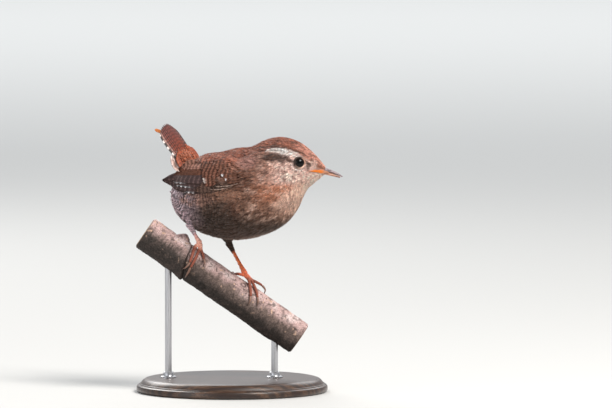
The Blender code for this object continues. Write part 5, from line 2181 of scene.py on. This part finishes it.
    def scale(self, obj: bpy.types.Object, lines: list) -> None:
        """Raises the scutes over the front of the leg and the tops of the toes, and colours them, with painted
        highlights and shade.
        """
        spots = mesh_points(obj)
        best = np.full(len(spots), 1e9)
        phase = np.zeros(len(spots))
        facing = np.zeros(len(spots))
        far_out = np.zeros(len(spots))
        for number, (line, _, period) in enumerate(lines):
            at = np.linspace(0, len(line) - 1, 160)
            track = read_spline(line, at)
            run = np.concatenate([[0], np.cumsum(np.linalg.norm(np.diff(track, axis=0), axis=1))])
            gaps = np.linalg.norm(spots[:, None, :] - track[None], axis=2)
            nearest = gaps.argmin(axis=1)
            gap = gaps[np.arange(len(spots)), nearest]
            out = unit(spots - track[nearest])
            if number == 0:
                top = out @ unit(np.array([0.75, -0.25, 0.45]))
            else:
                centre = np.array(BRANCH.centre)
                ahead = np.array([math.cos(BRANCH.slope), 0.0, -math.sin(BRANCH.slope)])
                away = track - centre - ((track - centre) @ ahead)[:, None] * ahead
                top = (out * unit(away)[nearest]).sum(axis=1)
            closer = gap < best
            best = np.where(closer, gap, best)
            phase = np.where(closer, run[nearest] / period + 0.37 * number, phase)
            facing = np.where(closer, top, facing)
            far_out = np.where(closer, run[nearest] * (number > 0), far_out)
        saw = phase % 1.0
        front = ramp(facing, -0.25, 0.35)
        seam = ramp(np.minimum(saw, 1 - saw), 0.13, 0.02) * front
        pads = (1 - front) * 0.10 * np.sin(2 * math.pi * phase * 0.7)
        rise = self.ridge * (saw - 0.5) * front + pads - 0.05 * seam
        normals = np.empty(len(spots) * 3)
        obj.data.vertices.foreach_get("normal", normals)
        moved = spots + normals.reshape(-1, 3) * rise[:, None]
        obj.data.vertices.foreach_set("co", (moved * MM).ravel())
        obj.data.update()
        wash = Wash(len(spots), self.UNDER)
        wash.lay(front, self.TOP)
        gap = np.linalg.norm(spots - BRANCH.spot(*self.JOINTS[self.side]), axis=1)
        # The ankle joint, the right one with a painted highlight.
        wash.lay(ramp(gap, 5.5, 2.0) * 0.8, self.JOINT_TONE_AND_HIGHLIGHT[self.side])
        # Toes darker away from the joint: their own tone and painted shade.
        wash.lay(ramp(far_out, 1.6, 5.0) * 0.9, self.TOE_TONE_AND_SHADE)
        wash.lay(seam * 0.85, self.SEAM_AND_SHADE)
        # Painted highlight of light from behind on the top of the right shank.
        wash.lay(ramp(spots[:, 2], *self.BACKLIGHT_SPAN[self.side]) * 0.75, self.BACKLIGHT_LILAC)
        # Painted shade under the belly on the top of the left shank.
        wash.lay(ramp(spots[:, 2], *self.SHADOW_SPAN[self.side]) * 0.85, self.SEAM_AND_SHADE)
        wash.lay(ramp(spots[:, 2], *self.SHADE[self.side]) * 0.95, self.SHADED_TOP)
        # Darker towards the bottom of the foot.
        wash.lay(ramp(spots[:, 2], 57.0, 48.0) * 0.35, self.SEAM_AND_SHADE)
        wash.colour *= (0.84 + 0.36 * value_noise(spots, 1.6, 4))[:, None]
        tint(obj, wash.colour)

    def claws(self) -> None:
        """The four curved claws of the foot."""
        bm = bmesh.new()
        for digit in range(1, 5):
            last = BRANCH.spot(*self.TOES[self.side, digit][-1])
            tips = [BRANCH.spot(*p) for p in self.CLAWS[self.side, digit]]
            Skin.add(bm, self.bar(np.stack([last] + tips), self.claw_radii, self.claw_steps, 14))
        obj = Forge.finish(bm, f"claws_{self.side}", self.horn)
        spots = mesh_points(obj)
        wash = Wash(len(spots), self.CLAW)
        for digit in range(1, 5):
            tip = BRANCH.spot(*self.CLAWS[self.side, digit][-1])
            wash.lay(ramp(np.linalg.norm(spots - tip, axis=1), 2.2, 0.4), self.CLAW_TIP)
        tint(obj, wash.colour)
        declare(obj, "claw_horn", *(f"claw_{self.side}_{digit}" for digit in range(1, 5)))


# The branch and the stand

@dataclass
class Branch:
    """The cut length of branch, with its bark, a collar with a crack, a knob and buds."""

    bark: bpy.types.Material
    wood: bpy.types.Material
    form: BranchForm = BRANCH
    steps: int = 340
    sides: int = 150
    collar: tuple[float, float] = (-24.0, 2.2)
    crack_wide: float = 0.38
    crack_deep: float = 0.8
    ring_gap: float = 0.85
    KNOBS = ((-27.6, -0.05, 2.5, 1.7), (0.6, 0.2, 0.75, 1.0), (8.0, 0.66, 1.0, 0.4),
             (24.0, -2.2, 1.8, 0.9), (-8.0, 2.3, 1.3, 0.5), (-36.0, -1.4, 1.5, 0.7))
    # The bark's pale pinkish top, brightened by a painted highlight.
    TOP: Colour = (0.48, 0.33, 0.31)
    SIDE: Colour = (0.136, 0.098, 0.084)
    # Painted shade on the branch's underside.
    SHADED_UNDERSIDE: Colour = (0.040, 0.032, 0.028)
    PALE: Colour = (0.66, 0.55, 0.53)
    DARK: Colour = (0.075, 0.055, 0.048)
    # Painted shade in the collar's crack and round the knobs.
    CRACK_SHADE: Colour = (0.018, 0.014, 0.012)
    LENTICEL: Colour = (0.50, 0.33, 0.24)
    WOOD: Colour = (0.52, 0.36, 0.22)
    PITH: Colour = (0.20, 0.12, 0.07)

    def build(self) -> None:
        """Makes the bark and both cut faces."""
        bark = Forge.finish(Forge.tube(self.steps, self.sides, self.outline), "bark", self.bark)
        self.colour_bark(bark)
        declare(bark, "bark", "perch")
        for name, end in (("cut_face_high", -1.0), ("cut_face_low", 1.0)):
            self.cut_face(name, end)

    def crack_gap(self, along: np.ndarray, angle: np.ndarray) -> np.ndarray:
        """How far along each place is past the collar's crack, which slants round the branch."""
        turn = np.abs((angle + math.pi) % (2 * math.pi) - math.pi)
        return along - self.collar[0] - self.collar[1] * turn - 0.35 * np.sin(3.1 * turn)

    def relief(self, along: np.ndarray, angle: np.ndarray) -> np.ndarray:
        """Heights of the bark over the plain bar."""
        form = self.form
        spots = form.point(along, angle, np.zeros(len(along)))
        height = sum(high * np.exp(-((along - at) / reach) ** 2) for at, reach, high in form.swells)
        height += 0.7 * (value_noise(spots, 11.0, 61) - 0.5)
        height += 0.32 * (value_noise(spots, 3.4, 62) - 0.5)
        height += 0.20 * (value_noise(spots, 1.1, 63) - 0.5)
        gap = self.crack_gap(along, angle)
        height += 0.75 * ramp(gap, -9.0, -1.0) * ramp(gap, 0.3, -0.3)
        height -= self.crack_deep * np.exp(-(gap / self.crack_wide) ** 2)
        for at, turn, reach, high in self.KNOBS:
            beside = (angle - turn + math.pi) % (2 * math.pi) - math.pi
            away = np.hypot((along - at) / reach, beside * form.radius / reach)
            height += high * np.exp(-away**2) - 0.3 * high * np.exp(-((away - 1.5) / 0.25) ** 2)
        return height

    def outline(self, share: np.ndarray, angle: np.ndarray) -> np.ndarray:
        """Points of the bark."""
        along = (share - 0.5) * self.form.length
        rim = ramp(np.abs(share - 0.5) * 2, 0.988, 1.0)
        return self.form.point(along, angle, self.relief(along, angle) - 0.7 * rim)

    def colour_bark(self, obj: bpy.types.Object) -> None:
        """A painted highlight on the pale pinkish top and painted shade below, with speckles, lenticels and the
        black crack.
        """
        spots = mesh_points(obj)
        slope = self.form.slope
        ahead = np.array([math.cos(slope), 0.0, -math.sin(slope)])
        up = np.array([math.sin(slope), 0.0, math.cos(slope)])
        off = spots - np.array(self.form.centre)
        along, high, near = off @ ahead, off @ up, -off[:, 1]
        angle = np.arctan2(near, high)
        sky = unit(np.stack([high, near], axis=1))[:, 0]
        patch = value_noise(spots, 5.0, 71)
        speck = value_noise(spots, 0.9, 72)
        band = value_noise(np.stack([along * 1.4, angle * 3.0, 0 * along], axis=1), 1.0, 73)
        wash = Wash(len(spots), self.SIDE)
        wander = 0.35 * (patch - 0.5) + 0.25 * (band - 0.5)
        # Painted highlight along the top of the branch.
        wash.lay(ramp(sky + wander, 0.07, 0.78), self.TOP)
        # Painted shade below, reaching higher up the side towards the branch's high end.
        wash.lay(ramp(sky + wander - 0.5 * ramp(along, -14.0, -26.0), 0.05, -0.55), self.SHADED_UNDERSIDE)
        wash.lay(ramp(patch, 0.55, 0.8) * ramp(sky, 0.0, 0.8) * 0.6, self.PALE)
        wash.lay(ramp(value_noise(spots, 2.0, 74), 0.58, 0.78) * 0.55, self.DARK)
        wash.lay(ramp(speck, 0.66, 0.85) * 0.75, self.DARK)
        wash.lay(ramp(value_noise(spots, 1.25, 75), 0.80, 0.9) * ramp(sky, -0.5, 0.3), self.LENTICEL)
        gap = self.crack_gap(along, angle)
        # Painted shade in the collar's crack.
        wash.lay(np.exp(-(gap / (1.3 * self.crack_wide)) ** 2), self.CRACK_SHADE)
        wash.lay(ramp(gap, -5.0, -0.5) * ramp(gap, 0.2, -0.2) * 0.35, self.DARK)
        # A dark ring round the foot of each knob, painted as shade.
        for at, turn, reach, _ in self.KNOBS[1:]:
            beside = (angle - turn + math.pi) % (2 * math.pi) - math.pi
            away = np.hypot((along - at) / reach, beside * self.form.radius / reach)
            away = away + 0.9 * (value_noise(spots, 1.0, 76) - 0.5)
            wash.lay(np.exp(-((away - 1.1) / 0.5) ** 2) * 0.8, self.CRACK_SHADE)
        tint(obj, wash.colour)

    def cut_face(self, name: str, end: float) -> None:
        """The pale sawn wood at one end, with year rings and a pith.

        Args:
            name: Its name.
            end: -1 for the high end, or 1 for the low one.
        """
        radius = self.form.radius - 0.75
        rings = 24
        profile = [(radius * i / rings, 0.12) for i in range(rings + 1)]
        bm = Forge.lathe(profile + [(radius, -0.8), (0.0, -0.8)], 120)
        axis = Vector((math.cos(self.form.slope), 0.0, -math.sin(self.form.slope))) * end
        reach = np.array([math.hypot(v.co.x, v.co.y) for v in bm.verts])
        around = np.array([math.atan2(v.co.y, v.co.x) for v in bm.verts])
        bmesh.ops.rotate(bm, matrix=Vector((0, 0, 1)).rotation_difference(axis).to_matrix(), verts=bm.verts)
        middle = Vector(self.form.centre) + axis * (self.form.length / 2)
        bmesh.ops.translate(bm, vec=middle, verts=bm.verts)
        obj = Forge.crisp(Forge.finish(bm, name, self.wood))
        wash = Wash(len(reach), self.WOOD)
        wash.lay(ramp(reach, 1.1, 0.5), self.PITH)
        wash.lay(ramp(reach, radius - 0.5, radius), self.PITH)
        paint(obj.data, wash.colour, np.full(len(reach), 0.75), reach / self.ring_gap, np.sin(around * 9) * 2)
        declare(obj, "bark")


@dataclass
class Stand:
    """The turned base and the two steel rods with their collars."""

    wood: bpy.types.Material
    steel: bpy.types.Material
    radius: float = 45.0
    height: float = 6.5
    rod_radius: float = 1.6
    sunk: float = 0.4
    RODS = {"tall": -30.0, "short": 20.0}

    def build(self) -> None:
        """Turns the base and both rods."""
        r, h = self.radius, self.height
        profile = [(0.0, 0.0), (r - 1.4, 0.0), (r - 0.5, 0.3), (r, 1.0), (r, 2.4), (r - 0.35, 3.1),
                   (r - 1.0, 3.5), (r - 1.5, 3.6), (r - 1.5, 3.95), (r - 1.9, 4.1), (r - 2.3, 4.6),
                   (r - 3.0, 5.5), (r - 4.0, 6.15), (r - 5.4, h), (r * 0.6, h), (0.0, h)]
        base = Forge.crisp(Forge.finish(Forge.lathe(profile, 180), "turned_base", self.wood), 30.0)
        declare(base, "walnut", "stand_base")
        for name, x in self.RODS.items():
            self.rod(name, x)

    def rod(self, name: str, x: float) -> None:
        """One rod, from its collar on the base into the branch."""
        r, h = self.rod_radius, self.height
        top = BRANCH.centre[2] - (x - BRANCH.centre[0]) * math.tan(BRANCH.slope)
        profile = [(0.0, h - self.sunk), (r + 2.2, h - self.sunk), (r + 2.2, h + 0.5), (r + 1.9, h + 0.8),
                   (r + 1.1, h + 0.95), (r + 0.9, h + 1.3), (r + 0.9, h + 2.6), (r + 0.6, h + 2.9),
                   (r, h + 2.9), (r, top - 0.6), (0.0, top)]
        bm = Forge.lathe(profile, 64)
        bmesh.ops.translate(bm, vec=(x, 0, 0), verts=bm.verts)
        obj = Forge.crisp(Forge.finish(bm, f"rod_{name}", self.steel), 30.0)
        declare(obj, "steel", f"stand_rod_{name}")


def stained_wood() -> bpy.types.Material:
    """Dark stained wood under a satin varnish, with its grain along X."""
    b = Bench("stained_wood", 0.38)
    sway = b.noise(b.place((14.0, 60.0, 60.0)), 1.0, 2.0)
    split = b.tree.nodes.new("ShaderNodeSeparateXYZ")
    b.link(b.place((1.0, 1.0, 1.0)), split.inputs[0])
    lines = b.math("ADD", b.math("MULTIPLY", split.outputs["Y"], 230.0), b.math("MULTIPLY", sway, 4.5))
    growth = b.spread(b.math("SINE", b.math("MULTIPLY", lines, 2 * math.pi)), -0.9, 1.0)
    pores = b.spread(b.noise(b.place((90.0, 2600.0, 2600.0)), 1.0, 3.0), 0.35, 0.6)
    colour = b.mix((0.030, 0.013, 0.007), (0.105, 0.052, 0.027), growth)
    colour = b.mix((0.018, 0.008, 0.005), colour, pores)
    b.link(colour, "Base Color")
    b.bump(pores, 0.25, 0.06)
    b.set("Coat Weight", 0.35)
    b.set("Coat Roughness", 0.18)
    return b.material


def brushed_steel() -> bpy.types.Material:
    """Steel brushed along the rods."""
    b = Bench("brushed_steel", 0.3)
    b.set("Metallic", 1.0)
    lines = b.noise(b.place((2500.0, 2500.0, 40.0)), 1.0, 3.0)
    b.link(b.mix((0.46, 0.46, 0.48), (0.68, 0.68, 0.70), b.spread(lines, 0.3, 0.7)), "Base Color")
    b.link(b.spread(lines, 0.3, 0.7, 0.24, 0.40), "Roughness")
    b.bump(lines, 0.15, 0.02)
    return b.material


# The studio and the whole

@dataclass
class Studio:
    """A plain pale floor, soft light and a camera at the photograph's viewing angle."""

    mm_to_a_pixel: float = 0.47
    picture: tuple[int, int] = (612, 408)
    origin_pixel: tuple[float, float] = (232.0, 392.0)
    elevation: float = math.radians(3.5)
    distance: float = 3.0
    sensor: float = 36.0
    floor_size: float = 14.0

    def build(self) -> None:
        """Sets up the floor, the lights and the camera."""
        self.floor()
        self.lights()
        self.camera()

    def camera(self) -> None:
        """A long lens that frames the wren as the photograph does."""
        data = bpy.data.cameras.new("camera")
        data.sensor_width = self.sensor
        data.lens = self.sensor * self.distance / (self.picture[0] * self.mm_to_a_pixel * MM)
        data.clip_start, data.clip_end = 0.05, 60.0
        scale = self.mm_to_a_pixel * MM
        target = Vector(((self.picture[0] / 2 - self.origin_pixel[0]) * scale, 0.0,
                         (self.origin_pixel[1] - self.picture[1] / 2) * scale))
        camera = bpy.data.objects.new("camera", data)
        out = Vector((0.0, -math.cos(self.elevation), math.sin(self.elevation)))
        camera.location = target + out * self.distance
        camera.rotation_euler = (math.pi / 2 - self.elevation, 0.0, 0.0)
        bpy.context.scene.collection.objects.link(camera)
        bpy.context.scene.camera = camera

    def floor(self) -> None:
        """A wide plain floor."""
        bm = bmesh.new()
        bmesh.ops.create_grid(bm, x_segments=1, y_segments=1, size=self.floor_size / 2 / MM)
        bench = Bench("floor", 0.9)
        bench.set("Base Color", (0.60, 0.60, 0.59, 1.0))
        floor = Forge.finish(bm, "floor", bench.material, smooth=False)

    def lights(self) -> None:
        """A broad key light, a weaker fill, a light from behind and an even sky."""
        self.panel("key", (0.62, -0.62, 1.05), 0.5, 21.0, (1.0, 0.96, 0.91))
        self.panel("fill", (-1.0, -0.9, 0.5), 0.9, 3.0, (0.93, 0.96, 1.0))
        self.panel("back", (-0.6, 1.0, 1.0), 0.8, 9.0, (1.0, 0.98, 0.95))
        self.panel("backdrop", (0.0, 5.5, 3.0), 6.0, 210.0, (0.97, 0.99, 1.0), (0.0, 5.5, 0.0))
        world = bpy.data.worlds.new("sky")
        world.use_nodes = True
        sky = world.node_tree.nodes["Background"]
        sky.inputs["Color"].default_value = (0.93, 0.96, 1.0, 1.0)
        sky.inputs["Strength"].default_value = 0.42
        bpy.context.scene.world = world
        bpy.context.scene.view_settings.view_transform = "Standard"

    @staticmethod
    def panel(name: str, spot: tuple[float, float, float], size: float, power: float,
              colour: Colour, target: tuple[float, float, float] = (0.0, 0.0, 0.09)) -> None:
        """One square soft light, in metres, that faces the wren or another place.

        Args:
            name: Its name.
            spot: Where it stands.
            size: Its side.
            power: Its power in watts.
            colour: Its colour.
            target: The place that it faces.
        """
        data = bpy.data.lights.new(name, "AREA")
        data.size = size
        data.energy = power
        data.color = colour
        lamp = bpy.data.objects.new(name, data)
        lamp.location = spot
        aim = Vector(target) - Vector(spot)
        lamp.rotation_euler = aim.to_track_quat("-Z", "Y").to_euler()
        bpy.context.scene.collection.objects.link(lamp)


def corners(box: tuple[Vector, Vector]) -> list[list[float]]:
    """A box's two corners as plain numbers."""
    return [[float(value) for value in corner] for corner in box]


def main() -> None:
    """Builds the wren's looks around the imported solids."""
    logging.basicConfig(level=logging.INFO, format="%(message)s")
    Studio().build()
    plumage = FeatherFinish("plumage").made()
    Skin(plumage).build()
    Coat(plumage).build()
    ThighCoat(plumage).build()
    quills = FeatherFinish("quills", roughness=0.6, bar_warp=0.26, bar_dark=0.8, bar_edge=0.45,
                           barb_scale=6.0, barb_contrast=0.2, mottle=0.3, sheen=0.0, gloss=0.08).made()
    spotted = FeatherFinish("spotted_quills", roughness=0.55, bar_warp=0.12, bar_dark=0.95, bar_edge=0.3,
                            bar_start=-0.42, barb_contrast=0.15, mottle=0.2, sheen=0.0, gloss=0.1).made()
    for side in SIDES:
        Wing(side, quills, spotted).build()
    tail_quills = FeatherFinish("tail_quills", roughness=0.55, bar_warp=0.14, bar_dark=0.84,
                                bar_edge=0.3, bar_start=0.4, barb_contrast=0.2, mottle=0.15,
                                sheen=0.05).made()
    Tail(tail_quills, spotted, plumage).build()
    wet = GlossFinish("eye", 0.03, grain_contrast=0.0, specular=0.2).made()
    skin = GlossFinish("leg_skin", 0.46, grain=2500.0, grain_contrast=0.12, bump=0.3, specular=0.22).made()
    horn = GlossFinish("bill_horn", 0.3, grain=1500.0, grain_contrast=0.12, bump=0.1).made()
    for side in SIDES:
        Eye(side, wet, skin).build()
        Foot(side, skin, horn).build()
    Bill(horn, skin).build()
    bark = GlossFinish("bark", 0.85, grain=1700.0, grain_contrast=0.35, bump=0.9, specular=0.25).made()
    cut_wood = FeatherFinish("cut_wood", roughness=0.75, bar_warp=0.12, bar_dark=0.4, bar_edge=0.8,
                             barb_scale=2.0, barb_contrast=0.12, mottle=0.15, sheen=0.0).made()
    Branch(bark, cut_wood).build()
    Stand(stained_wood(), brushed_steel()).build()


if __name__ == "__main__":
    main()
